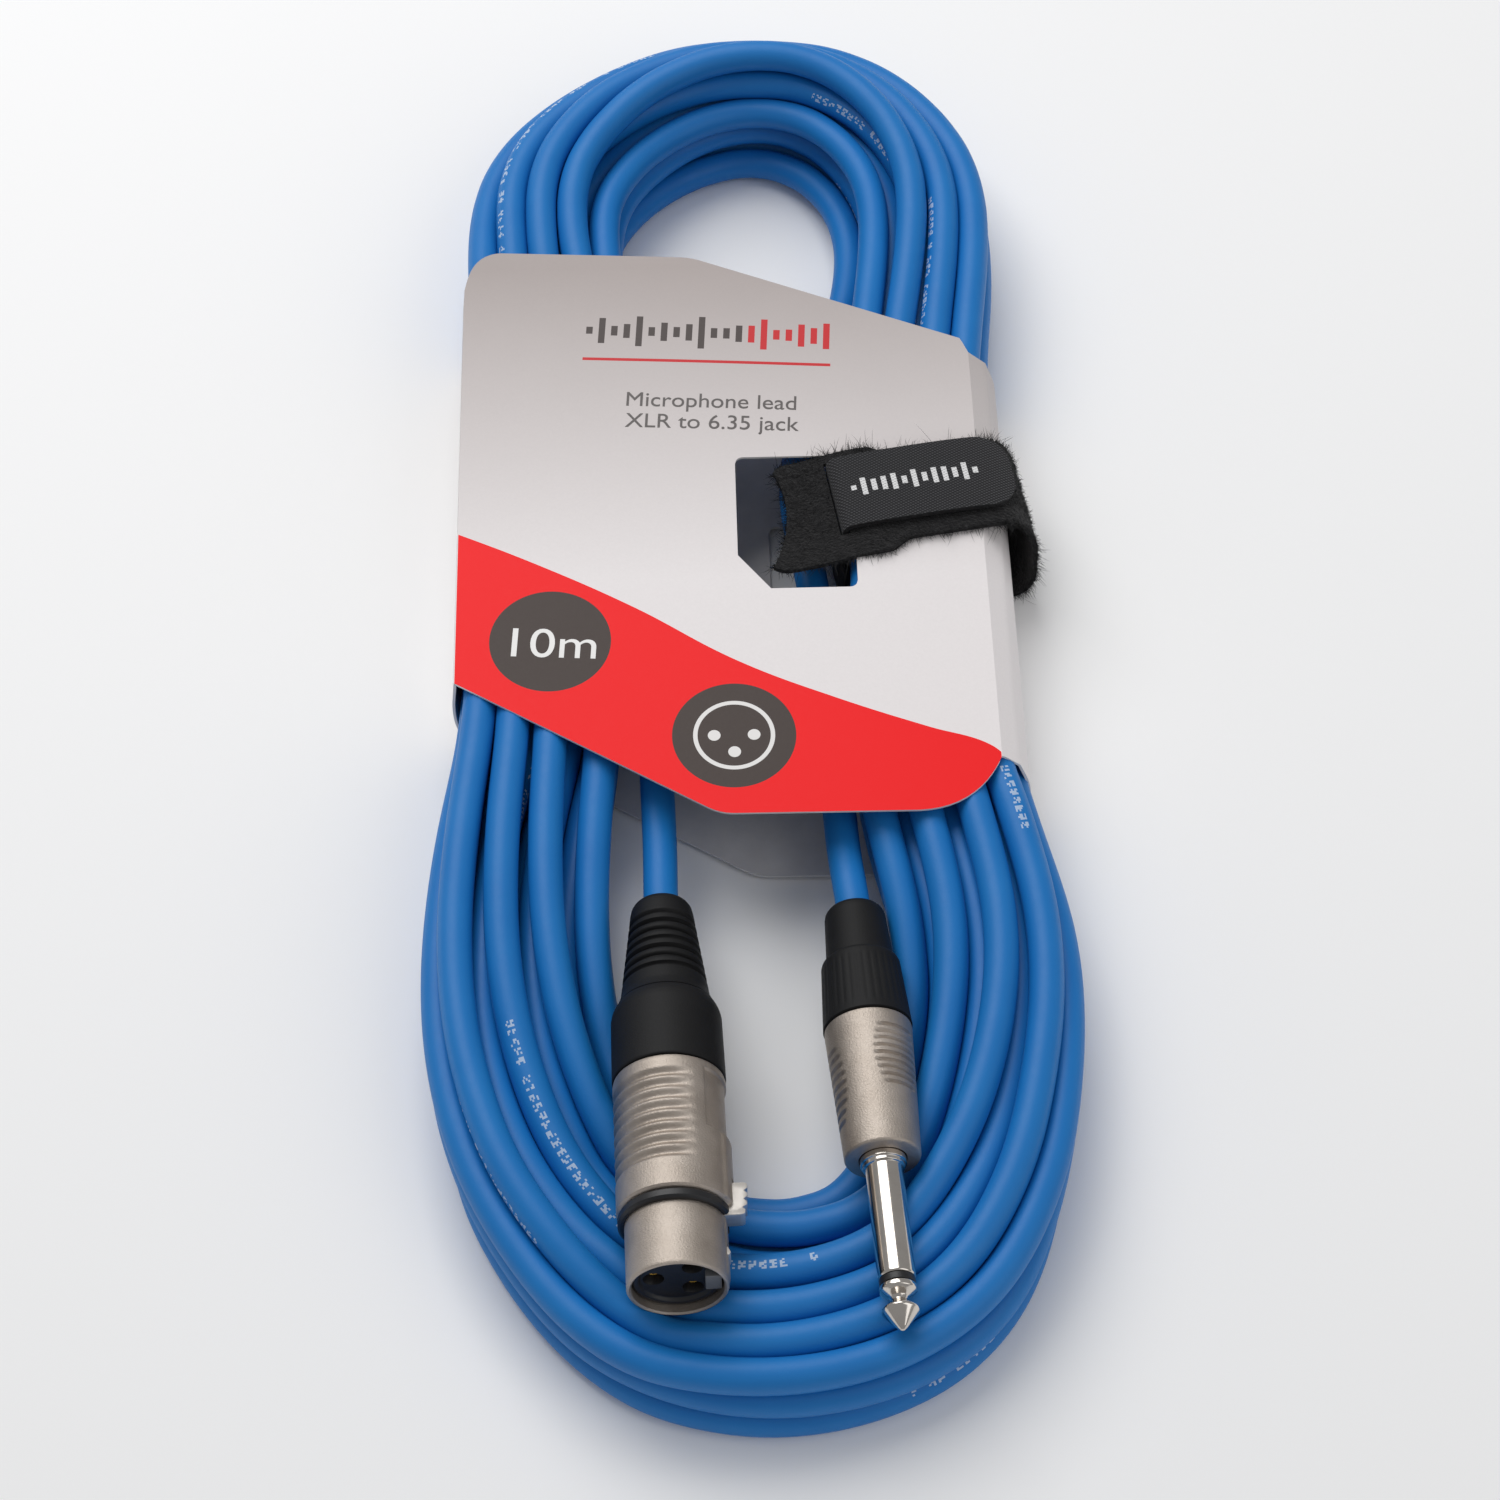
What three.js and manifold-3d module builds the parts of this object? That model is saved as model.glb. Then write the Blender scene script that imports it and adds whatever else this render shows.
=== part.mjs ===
// A 10 m microphone lead, coiled for sale: an oval coil of round cable whose two legs run through a
// folded card sleeve, held by a hook-and-loop strap, with a female XLR connector on one end and a
// 6.35 mm mono jack plug on the other. Millimetres, +Z up, +Y along the coil, lying on z = 0.
import * as THREE from 'three';
import { mergeVertices } from 'three/addons/utils/BufferGeometryUtils.js';
import Module from 'manifold-3d';

const wasm = await Module();
wasm.setup();

// ---------------------------------------------------------------- driving dimensions

const CABLE_R = 3.1;
const CABLE_BORE = 3.4;
const GAP = 0.3;

// The coil's ring, anticlockwise from the right leg: centre x, centre y, width, height, underside.
// The legs stand on the sleeve's back panel, and the two arcs lie on the floor.
const COIL_STATIONS = [
  [42.0, -66, 30.5, 20.0, 0],
  [39.0, -53, 29.2, 20.4, 1.8],
  [35.6, -36, 26.6, 20.8, 2.2],
  [35.5, 20, 26.4, 20.8, 2.2],
  [36.0, 62, 26.8, 20.8, 2.2],
  [38.0, 88, 29.0, 22.5, 1.2],
  [37.6, 110, 27.5, 24.5, 0],
  [31.5, 127, 27.0, 25.5, 0],
  [20.5, 137.8, 27.0, 26.0, 0],
  [5.5, 142, 27.0, 26.0, 0],
  [-12.0, 138.6, 27.0, 26.0, 0],
  [-26.5, 129, 27.0, 25.5, 0],
  [-36.2, 114.5, 28.0, 24.0, 0],
  [-38.9, 97, 28.4, 21.6, 1.8],
  [-38.7, 70, 27.0, 20.8, 2.2],
  [-38.7, 20, 26.8, 20.8, 2.2],
  [-38.9, -20, 26.6, 20.8, 2.2],
  [-42.6, -42, 29.4, 20.4, 1.6],
  [-43.6, -68, 30.4, 20.0, 0],
  [-41.2, -92, 30.0, 19.0, 0],
  [-35.6, -111, 27.6, 16, 0],
  [-19.8, -127.5, 33.6, 10.6, 0],
  [3.0, -132.3, 41.6, 10.6, 0],
  [25.2, -127, 35.0, 12.0, 0],
  [37.8, -109, 28.8, 15.5, 0],
  [42.2, -88, 28.4, 18.5, 0],
];
const COIL_STEPS = 52;
const COIL_SIDES = 16;
const COIL_SQUARENESS = 1.15;

// The card sleeve: a flat tube around both legs, its back panel shifted right of its front panel.
const CARD_T = 0.5;
const CARD_FRONT_Z = 24;
const CARD_BACK_Z = 1.3;
const CARD_FRONT_X = [-53.5, 45.3];
const CARD_BACK_X = [-47.5, 48];
const CARD_SHIFT_PER_MM = 0.29;
const CARD_RIGHT_WALL = [[48.9, 20.5], [51.0, 14], [51.4, 8.5], [50.2, 3.4]];
const CARD_LEFT_WALL = [[-51.4, 3.0], [-53.8, 8], [-54.4, 15]];
const WINDOW = { left: -1, right: 21.2, bottom: 2.4, top: 33.4, chamfer: 6 };

// The strap lies across the right leg, turned a little about Z. Its own x runs along the strap.
const STRAP_PIVOT = [32, 23.2];
const STRAP_TURN = THREE.MathUtils.degToRad(9);
const STRAP_T = 1.0;
const STRAP_W = 20;
const STRAP_TOP_Z = CARD_FRONT_Z + GAP + STRAP_T;
const HEAD_W = 24.6;
const SLOT_X = -13.8;
const SLOT = { length: 1.8, width: 21.4 };
const TAB = { length: 33.8, width: 16.4, offset: 1.7, thickness: 1.1, lift: 0.4 };

// Female XLR connector. Its own y runs from the mating face (0) to the cable.
const XLR_FACE = [-14.5, -137, 24];
const XLR_PITCH = THREE.MathUtils.degToRad(-7.16);
const XLR_YAW = THREE.MathUtils.degToRad(1.43);
const XLR = { nose: 8.4, body: 9.65, noseBore: 7.65, bodyBore: 8.6, shoulder: 14, shellEnd: 39.8 };
const XLR_COLLAR_END = 55.3;
const XLR_BOOT_END = 77.8;
const XLR_JACKET_END = 37;
const CONTACT_CIRCLE = 3.9;
const CONTACT_ANGLES = [50, -50, 180];
const CONTACT_BACK = 31;

// The latch: an arm in a groove of the insert, pressed in through a slot in the shell's right side.
const LATCH = { inner: 6.2, outer: 7.0, front: 5, pivot: 26, halfWidth: 1.9, proud: 12.3 };
const LATCH_TAB = [12.5, 18.7];
const LATCH_HOOK = [5, 6.6];
const LATCH_GROOVE = 4.6;
const SLOT_PLAY = 0.4;

// Mono jack plug. Its own y runs from the barrel's front face (0) to the cable; the shaft is at y < 0.
const JACK_FACE = [20.1, -112.9, 20];
const JACK_PITCH = THREE.MathUtils.degToRad(-5.41);
const JACK_YAW = THREE.MathUtils.degToRad(2.7);
const JACK = { front: 6.5, back: 7.6, shellEnd: 25.8, collarEnd: 39.6, bootEnd: 51 };
const JACK_SHAFT_R = 3.175;
const JACK_TIP_Y = -31.9;
const JACK_JACKET_END = 19;

// The cable's two uncoiled stretches, from the boots to where each joins a leg of the coil.
const XLR_TAIL_ROUTE = [
  [-17.1, -46, 13.4],
  [-18.3, -28, 14.6],
  [-20.0, -8, 17.0],
  [-21.2, 12, 18.4],
  [-21.3, 30, 18.6],
];
const JACK_TAIL_ROUTE = [
  [16.7, -47, 14.3],
  [16.6, -28, 15.2],
  [16.2, -8, 16.8],
  [15.2, 12, 17.8],
  [12.8, 32, 18.2],
  [15.0, 47, 18.3],
  [19.0, 63, 18.4],
];

// ---------------------------------------------------------------- materials

const finish = (color, roughness, metalness = 0) => ({ color, roughness, metalness });
const CABLE_BLUE = finish(0x1f7ac4, 0.45);
const CARD_GREY = finish(0xcfcbc8, 0.6);
const LOOP_BLACK = finish(0x151517, 0.95);
const HOOK_GREY = finish(0x343437, 0.7);
const NICKEL = finish(0xc3b9af, 0.32, 1);
const BRIGHT_NICKEL = finish(0xd8d2ca, 0.15, 1);
const BOOT_RUBBER = finish(0x26272a, 0.75);
const BLACK_PLASTIC = finish(0x18191b, 0.5);
const GREY_PLASTIC = finish(0x6a6c70, 0.5);
const CONTACT_GOLD = finish(0xc9a24a, 0.25, 1);
const SPRING_STEEL = finish(0xb4b4b2, 0.3, 1);
const LEAD_RED = finish(0xa8251f, 0.5);
const LEAD_WHITE = finish(0xd9d6cf, 0.5);
const LEAD_COPPER = finish(0xb5653a, 0.35, 1);

// ---------------------------------------------------------------- geometry helpers

const vectors2 = (pairs) => pairs.map(([x, y]) => new THREE.Vector2(x, y));
const vectors3 = (triples) => triples.map(([x, y, z]) => new THREE.Vector3(x, y, z));

// A closed geometry with shared vertices merged, as a solid that can be joined and cut.
function solid(geometry) {
  const bare = geometry.clone();
  bare.deleteAttribute('normal');
  bare.deleteAttribute('uv');
  const merged = mergeVertices(bare, 1e-4);
  const vertProperties = new Float32Array(merged.attributes.position.array);
  const triVerts = new Uint32Array(merged.index.array);
  return new wasm.Manifold(new wasm.Mesh({ numProp: 3, vertProperties, triVerts }));
}

function geometryOf(body) {
  const { vertProperties, triVerts } = body.getMesh();
  const geometry = new THREE.BufferGeometry();
  geometry.setAttribute('position', new THREE.BufferAttribute(vertProperties, 3));
  geometry.setIndex(new THREE.BufferAttribute(triVerts, 1));
  geometry.computeVertexNormals();
  return geometry;
}

// A solid of revolution about local y, from [along, radius] pairs.
function turned(profile, segments = 24) {
  return new THREE.LatheGeometry(profile.map(([along, radius]) => new THREE.Vector2(radius, along)), segments);
}

// The same for a hollow piece: its outer profile, then back along its inner one.
function turnedRing(outer, inner, segments = 24) {
  return turned([...outer, ...inner.toReversed(), outer[0]], segments);
}

function box([x0, x1], [y0, y1], [z0, z1]) {
  const geometry = new THREE.BoxGeometry(x1 - x0, y1 - y0, z1 - z0);
  return geometry.translate((x0 + x1) / 2, (y0 + y1) / 2, (z0 + z1) / 2);
}

function disc(radius, sides) {
  const angles = Array.from({ length: sides }, (_, i) => (i * 2 * Math.PI) / sides);
  return new THREE.Shape(angles.map((a) => new THREE.Vector2(radius * Math.cos(a), radius * Math.sin(a))));
}

function tube(points, radius, steps, sides = 10) {
  const extrudePath = new THREE.CatmullRomCurve3(vectors3(points));
  return new THREE.ExtrudeGeometry(disc(radius, sides), { steps, extrudePath });
}

// A shape drawn in x and z, extruded along y from y0 to y1.
function extrudeAcross(shape, y0, y1) {
  const geometry = new THREE.ExtrudeGeometry(shape, { depth: y1 - y0, bevelEnabled: false });
  return geometry.rotateX(Math.PI / 2).translate(0, y1, 0);
}

// A shape drawn in x and y, extruded up from z0 to z1.
function extrudeUp(shape, z0, z1, curveSegments = 6) {
  const depth = z1 - z0;
  return new THREE.ExtrudeGeometry(shape, { depth, bevelEnabled: false, curveSegments }).translate(0, 0, z0);
}

// The points of a line moved sideways by a distance, keeping both faces of its corners parallel.
function offsetLine(points, distance, closed) {
  const last = points.length - 1;
  return points.map((point, i) => {
    const before = points[i === 0 ? (closed ? last : 0) : i - 1];
    const after = points[i === last ? (closed ? 0 : last) : i + 1];
    const into = point.clone().sub(before).normalize();
    const out = after.clone().sub(point).normalize();
    const along = into.clone().add(out).normalize();
    const stretch = into.lengthSq() && out.lengthSq() ? 1 / along.dot(out) : 1;
    return new THREE.Vector2(-along.y, along.x).multiplyScalar(distance * stretch).add(point);
  });
}

function mesh(name, geometry, { color, roughness, metalness }) {
  const piece = new THREE.Mesh(geometry, new THREE.MeshStandardMaterial({ color, roughness, metalness }));
  piece.name = name;
  return piece;
}

// ---------------------------------------------------------------- cable

// A ring around the stations: each section is a rectangle with wide chamfers and a flat underside.
function coilGeometry() {
  const centre = new THREE.CatmullRomCurve3(COIL_STATIONS.map(([x, y]) => new THREE.Vector3(x, y, 0)), true);
  const sizes = COIL_STATIONS.map(([, , width, height, base]) => new THREE.Vector3(width, height, base));
  const section = new THREE.CatmullRomCurve3(sizes, true);
  const ring = new THREE.TorusGeometry(2, 1, COIL_SIDES, COIL_STEPS);
  const flattened = (value) => THREE.MathUtils.clamp(COIL_SQUARENESS * value, -1, 1);
  const { position, uv } = ring.attributes;
  for (let i = 0; i < position.count; i++) {
    const t = uv.getX(i) % 1;
    const angle = uv.getY(i) * 2 * Math.PI;
    const point = centre.getPoint(t);
    const tangent = centre.getTangent(t);
    const size = section.getPoint(t);
    const out = (flattened(Math.cos(angle)) * size.x) / 2;
    const up = Math.max(size.z, 0) + ((1 + flattened(Math.sin(angle))) * size.y) / 2;
    position.setXYZ(i, point.x + tangent.y * out, point.y - tangent.x * out, up);
  }
  return ring;
}

// A tail starts inside its connector, where the chuck grips the jacket.
function tailGeometry(connector, insideStops, route) {
  connector.updateMatrix();
  const inside = insideStops.map((y) => new THREE.Vector3(0, y, 0).applyMatrix4(connector.matrix).toArray());
  return tube([...inside, ...route], CABLE_R, 16);
}

// ---------------------------------------------------------------- card sleeve

function sleeveOutline() {
  const outline = new THREE.Path();
  outline.moveTo(CARD_FRONT_X[0], CARD_FRONT_Z);
  outline.lineTo(CARD_FRONT_X[1], CARD_FRONT_Z);
  outline.splineThru(vectors2([...CARD_RIGHT_WALL, [CARD_BACK_X[1], CARD_BACK_Z]]));
  outline.lineTo(CARD_BACK_X[0], CARD_BACK_Z);
  outline.splineThru(vectors2([...CARD_LEFT_WALL, [CARD_FRONT_X[0], CARD_FRONT_Z]]));
  return outline.getPoints(1).slice(0, -1);
}

// The die-cut outline of the front panel, running out past both folds.
function frontPanelShape() {
  const shape = new THREE.Shape();
  shape.moveTo(-70, 77);
  shape.lineTo(-53.4, 77);
  shape.quadraticCurveTo(-52.6, 86.3, -46.6, 86.6);
  shape.lineTo(-8.6, 84.3);
  shape.lineTo(43.9, 62);
  shape.lineTo(45.3, 58.4);
  shape.lineTo(70, 58.4);
  shape.lineTo(70, -35.5);
  shape.lineTo(45.4, -35.5);
  shape.quadraticCurveTo(40.5, -46.4, 29.9, -46.7);
  shape.lineTo(-5.6, -46.4);
  shape.lineTo(-53.6, -17.1);
  shape.lineTo(-70, -17.1);
  return shape;
}

function windowShape() {
  const { left, right, bottom, top, chamfer } = WINDOW;
  const shape = new THREE.Shape();
  shape.moveTo(left, top);
  shape.lineTo(left, bottom + 1.3 * chamfer);
  shape.lineTo(left + chamfer, bottom);
  shape.lineTo(right, bottom);
  shape.lineTo(right, top);
  return shape;
}

// A die cut goes down through both panels, leaning as the sleeve does.
function dieCut(shape) {
  const cutter = extrudeUp(shape, -30, 6);
  cutter.applyMatrix4(new THREE.Matrix4().makeShear(0, 0, 0, 0, -CARD_SHIFT_PER_MM, 0));
  return solid(cutter.translate(0, 0, CARD_FRONT_Z));
}

function sleeveGeometry() {
  const outer = sleeveOutline();
  const inner = offsetLine(outer, -CARD_T, true).reverse();
  const wall = new THREE.Shape(outer);
  wall.holes.push(new THREE.Path(inner));
  const flatTube = solid(extrudeAcross(wall, -55, 95));
  return geometryOf(flatTube.intersect(dieCut(frontPanelShape())).subtract(dieCut(windowShape())));
}

// ---------------------------------------------------------------- strap

function headShape() {
  const half = HEAD_W / 2;
  const neck = STRAP_W / 2;
  const shape = new THREE.Shape();
  shape.moveTo(2, neck);
  shape.bezierCurveTo(-1, neck, -3, half, -6, half);
  shape.lineTo(-19.5, half);
  shape.quadraticCurveTo(-22.8, half, -22.6, half - 3.4);
  shape.quadraticCurveTo(-18.6, 0, -22.6, 3.4 - half);
  shape.quadraticCurveTo(-22.8, -half, -19.5, -half);
  shape.lineTo(-6, -half);
  shape.bezierCurveTo(-3, -half, -1, -neck, 2, -neck);
  return shape;
}

// The band's run: over the card, down round the right leg, back under the card and up to the slot.
function strapRun() {
  const middle = STRAP_TOP_Z - STRAP_T / 2;
  const run = new THREE.Path();
  run.moveTo(1, middle);
  run.lineTo(15.5, middle);
  run.splineThru(vectors2([[19.9, 22.4], [22.3, 17], [22.9, 11], [22.9, 5], [21.1, 1.6], [17.6, STRAP_T / 2]]));
  run.lineTo(SLOT_X + 1.6, STRAP_T / 2);
  run.lineTo(SLOT_X + 0.4, 0.9);
  run.lineTo(SLOT_X, 2.1);
  run.lineTo(SLOT_X, STRAP_TOP_Z);
  return run.getPoints(1);
}

function bandGeometry() {
  const middle = strapRun();
  const left = offsetLine(middle, STRAP_T / 2, false);
  const right = offsetLine(middle, -STRAP_T / 2, false);
  const loop = extrudeAcross(new THREE.Shape([...left, ...right.reverse()]), -STRAP_W / 2, STRAP_W / 2);
  const head = extrudeUp(headShape(), STRAP_TOP_Z - STRAP_T, STRAP_TOP_Z);
  const slotX = [SLOT_X - SLOT.length / 2, SLOT_X + SLOT.length / 2];
  const slot = box(slotX, [-SLOT.width / 2, SLOT.width / 2], [STRAP_TOP_Z - 3, STRAP_TOP_Z + 1]);
  return geometryOf(solid(head).subtract(solid(slot)).add(solid(loop)));
}

// The tab is drawn from its hinge line, at the middle of its round left end.
function tabGeometry() {
  const { length, width, thickness } = TAB;
  const side = new THREE.Shape();
  side.moveTo(length, thickness / 2);
  side.lineTo(0, thickness / 2);
  side.absarc(0, 0, thickness / 2, Math.PI / 2, 1.5 * Math.PI, false);
  side.lineTo(length, -thickness / 2);
  const plan = new THREE.Shape();
  plan.moveTo(-thickness, -width / 2);
  plan.lineTo(length - 5, -width / 2);
  plan.quadraticCurveTo(length, -width / 2, length, 0);
  plan.quadraticCurveTo(length, width / 2, length - 5, width / 2);
  plan.lineTo(-thickness, width / 2);
  const strip = new THREE.ExtrudeGeometry(side, { depth: width + 2, bevelEnabled: false, curveSegments: 6 });
  strip.rotateX(Math.PI / 2).translate(0, width / 2 + 1, 0);
  return geometryOf(solid(strip).intersect(solid(extrudeUp(plan, -thickness, thickness))));
}

function strap() {
  const group = new THREE.Group();
  group.position.set(...STRAP_PIVOT, 0);
  group.rotation.z = STRAP_TURN;
  const tab = mesh('strap_tab', tabGeometry(), HOOK_GREY);
  tab.position.set(SLOT_X, TAB.offset, STRAP_TOP_Z + TAB.lift + TAB.thickness / 2);
  group.add(mesh('strap_band', bandGeometry(), LOOP_BLACK), tab);
  return group;
}

// ---------------------------------------------------------------- connector pieces

// A boot: a cone from one radius to the other, with even grooves or none, around a bore for the cable.
function bootGeometry({ start, end, frontR, backR, grooves, depth, spigotR, spigotLength }) {
  const outer = [[start - spigotLength, spigotR], [start, spigotR]];
  const radiusAt = (y) => THREE.MathUtils.mapLinear(y, start, end, frontR, backR);
  const pitch = (end - start) / (grooves + 0.6);
  outer.push([start, frontR]);
  for (let i = 0; i < grooves; i++) {
    const y = start + pitch * (i + 0.6);
    outer.push([y, radiusAt(y)], [y, radiusAt(y) - depth]);
    outer.push([y + pitch * 0.4, radiusAt(y) - depth], [y + pitch * 0.4, radiusAt(y + pitch * 0.4)]);
  }
  outer.push([end, backR]);
  return turnedRing(outer, [[start - spigotLength, CABLE_BORE], [end, CABLE_BORE]], 16);
}

// A chuck is a tapered collet with one slit, closed on the jacket by the collar.
function chuckGeometry(outer, [start, end]) {
  const collet = turnedRing(outer, [[start, CABLE_R + 0.4], [end, CABLE_R + 0.4]], 20);
  const slit = box([-0.8, 0.8], [start - 1, end + 1], [0, 12]);
  return geometryOf(solid(collet).subtract(solid(slit)));
}

// ---------------------------------------------------------------- XLR connector

function latchOpening([from, to]) {
  const halfWidth = LATCH.halfWidth + SLOT_PLAY;
  return solid(box([LATCH.outer - 1, 14], [from - SLOT_PLAY, to + SLOT_PLAY], [-halfWidth, halfWidth]));
}

function xlrShellGeometry() {
  const { nose, body, noseBore, bodyBore, shoulder, shellEnd } = XLR;
  const outer = [[0, nose - 0.4], [0.4, nose], [shoulder - 0.1, nose], [shoulder, body - 0.2]];
  outer.push([shoulder + 0.6, body], [shellEnd - 0.6, body], [shellEnd, body - 0.4]);
  const inner = [[0, noseBore], [19.6, noseBore], [20.4, bodyBore], [shellEnd, bodyBore]];
  const shell = solid(turnedRing(outer, inner, 28));
  return geometryOf(shell.subtract(latchOpening(LATCH_TAB)).subtract(latchOpening(LATCH_HOOK)));
}

function xlrRingGeometry() {
  const { nose, body, shoulder } = XLR;
  const [front, back] = [shoulder - 2.1, shoulder - GAP];
  const ring = turnedRing([[front, body - 0.15], [back, body - 0.15]], [[front, nose + GAP], [back, nose + GAP]]);
  return geometryOf(solid(ring).subtract(latchOpening(LATCH_TAB)));
}

const contactPlace = (degrees) => {
  const angle = THREE.MathUtils.degToRad(degrees);
  return [CONTACT_CIRCLE * Math.cos(angle), CONTACT_CIRCLE * Math.sin(angle)];
};

function xlrInsertGeometry() {
  const core = XLR.noseBore - GAP;
  const flange = XLR.bodyBore - GAP;
  const profile = [[0.6, 0], [0.6, core], [20.8, core], [20.8, flange], [24, flange], [24, core], [27, core], [27, 0]];
  let insert = solid(turned(profile));
  for (const degrees of CONTACT_ANGLES) {
    const [x, z] = contactPlace(degrees);
    insert = insert.subtract(solid(turned([[-1, 0], [-1, 1.55], [30, 1.55], [30, 0]], 12).translate(x, 0, z)));
  }
  const halfWidth = LATCH.halfWidth + SLOT_PLAY;
  return geometryOf(insert.subtract(solid(box([LATCH_GROOVE, 12], [-1, 30], [-halfWidth, halfWidth]))));
}

function xlrContactGeometry() {
  const outer = [[1.6, 1.2], [26, 1.2], [27.4, 1.45], [CONTACT_BACK, 1.45]];
  return turnedRing(outer, [[1.6, 0.85], [CONTACT_BACK, 0.85]], 12);
}

function xlrCollarGeometry() {
  const { bodyBore, shellEnd, body } = XLR;
  const neck = shellEnd - 6.4;
  const outer = [[neck, bodyBore - GAP], [shellEnd + GAP, bodyBore - GAP], [shellEnd + GAP, body + 0.1]];
  outer.push([XLR_COLLAR_END - 0.8, 9.35], [XLR_COLLAR_END, 8.7]);
  return turnedRing(outer, [[neck, 7.6], [47, 7.6], [52, 5.4], [XLR_COLLAR_END, 5.4]]);
}

function latchGeometry() {
  const { inner, outer, front, pivot, halfWidth, proud } = LATCH;
  const width = [-halfWidth, halfWidth];
  const arm = solid(box([inner, outer], [front, pivot], width));
  const tab = solid(box([outer - 0.1, proud], LATCH_TAB, width));
  const hook = solid(box([outer - 0.1, 8.9], LATCH_HOOK, width));
  return geometryOf(arm.add(tab).add(hook));
}

// A bent leaf between the groove's floor and the arm.
function latchSpringGeometry() {
  const leaf = vectors2([[4.95, 25], [4.95, 20], [5.35, 16], [5.75, 12]]);
  const faces = [...offsetLine(leaf, 0.12, false), ...offsetLine(leaf, -0.12, false).reverse()];
  return new THREE.ExtrudeGeometry(new THREE.Shape(faces), { depth: 2.8, bevelEnabled: false }).translate(0, 0, -1.4);
}

function leadGeometry([x0, y0, z0], [x1, y1, z1]) {
  const middle = [[x0, y0 + (y1 - y0) * 0.35, z0], [x1, y0 + (y1 - y0) * 0.65, z1]];
  return tube([[x0, y0, z0], ...middle, [x1, y1, z1]], 0.65, 6, 8);
}

function xlrConnector() {
  const group = new THREE.Group();
  group.position.set(...XLR_FACE);
  group.rotation.set(XLR_PITCH, 0, XLR_YAW, 'ZYX');
  group.add(mesh('xlr_shell', xlrShellGeometry(), NICKEL));
  group.add(mesh('xlr_ring', xlrRingGeometry(), BLACK_PLASTIC));
  group.add(mesh('xlr_insert', xlrInsertGeometry(), BLACK_PLASTIC));
  group.add(mesh('xlr_latch', latchGeometry(), NICKEL));
  group.add(mesh('xlr_latch_spring', latchSpringGeometry(), SPRING_STEEL));
  CONTACT_ANGLES.forEach((degrees, i) => {
    const [x, z] = contactPlace(degrees);
    const contact = mesh(`xlr_contact_${i + 1}`, xlrContactGeometry(), CONTACT_GOLD);
    contact.position.set(x, 0, z);
    const start = [x, CONTACT_BACK + GAP, z];
    const end = [x * 0.38, XLR_JACKET_END - GAP, z * 0.38];
    const wire = [LEAD_RED, LEAD_WHITE, LEAD_COPPER][i];
    group.add(contact, mesh(`xlr_lead_${i + 1}`, leadGeometry(start, end), wire));
  });
  const chuckOuter = [[XLR_JACKET_END + 0.5, 7.2], [46.5, 7.2], [51.8, 5]];
  const chuck = chuckGeometry(chuckOuter, [XLR_JACKET_END + 0.5, 51.8]);
  group.add(mesh('xlr_chuck', chuck, GREY_PLASTIC));
  group.add(mesh('xlr_collar', xlrCollarGeometry(), BLACK_PLASTIC));
  const boot = { start: XLR_COLLAR_END + GAP, end: XLR_BOOT_END, frontR: 7.8, backR: 5.35, grooves: 7, depth: 0.9 };
  group.add(mesh('xlr_boot', bootGeometry({ ...boot, spigotR: 5, spigotLength: 2.6 }), BOOT_RUBBER));
  return group;
}

// ---------------------------------------------------------------- jack plug

function jackShellGeometry() {
  const { front, back, shellEnd } = JACK;
  const outer = [[0, front - 0.4], [0.4, front], [shellEnd - 0.4, back], [shellEnd, back - 0.3]];
  return turnedRing(outer, [[0, 4.3], [1.4, 4.3], [1.4, 5.7], [shellEnd, 6.7]], 28);
}

function jackCollarGeometry() {
  const { shellEnd, collarEnd } = JACK;
  const neck = shellEnd - 5.6;
  const outer = [[neck, 6.15], [shellEnd + GAP, 6.3], [shellEnd + GAP, 7.75], [collarEnd - 0.7, 6.95], [collarEnd, 6.5]];
  return turnedRing(outer, [[neck, 5.5], [33, 5.5], [36, 4.4], [collarEnd, 4.4]]);
}

function jackSleeveContactGeometry() {
  const outer = [[-22.3, JACK_SHAFT_R], [-1.7, JACK_SHAFT_R], [-1.7, 3.6], [-1, 3.6], [-1, 3.95], [1.7, 3.95]];
  outer.push([1.7, 5.3], [4.2, 5.3], [4.2, 3.6], [7, 3.6]);
  return turnedRing(outer, [[-22.3, 1.9], [7, 1.9]], 20);
}

function jackInsulatorGeometry() {
  return turnedRing([[-23.8, 3.1], [-22.6, 3.1], [-22.6, 1.6], [8, 1.6]], [[-23.8, 1.15], [8, 1.15]], 20);
}

function jackTipGeometry() {
  const head = [[JACK_TIP_Y, 0], [-31.7, 0.9], [-30.9, 1.75], [-28.2, 3.15], [-27.6, 3.15]];
  const neck = [[-26.4, 2.35], [-25.6, 2.35], [-24.8, 3.1], [-24.1, 3.1], [-24.1, 0.85], [9.5, 0.85], [9.5, 0]];
  return turned([...head, ...neck], 20);
}

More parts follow.
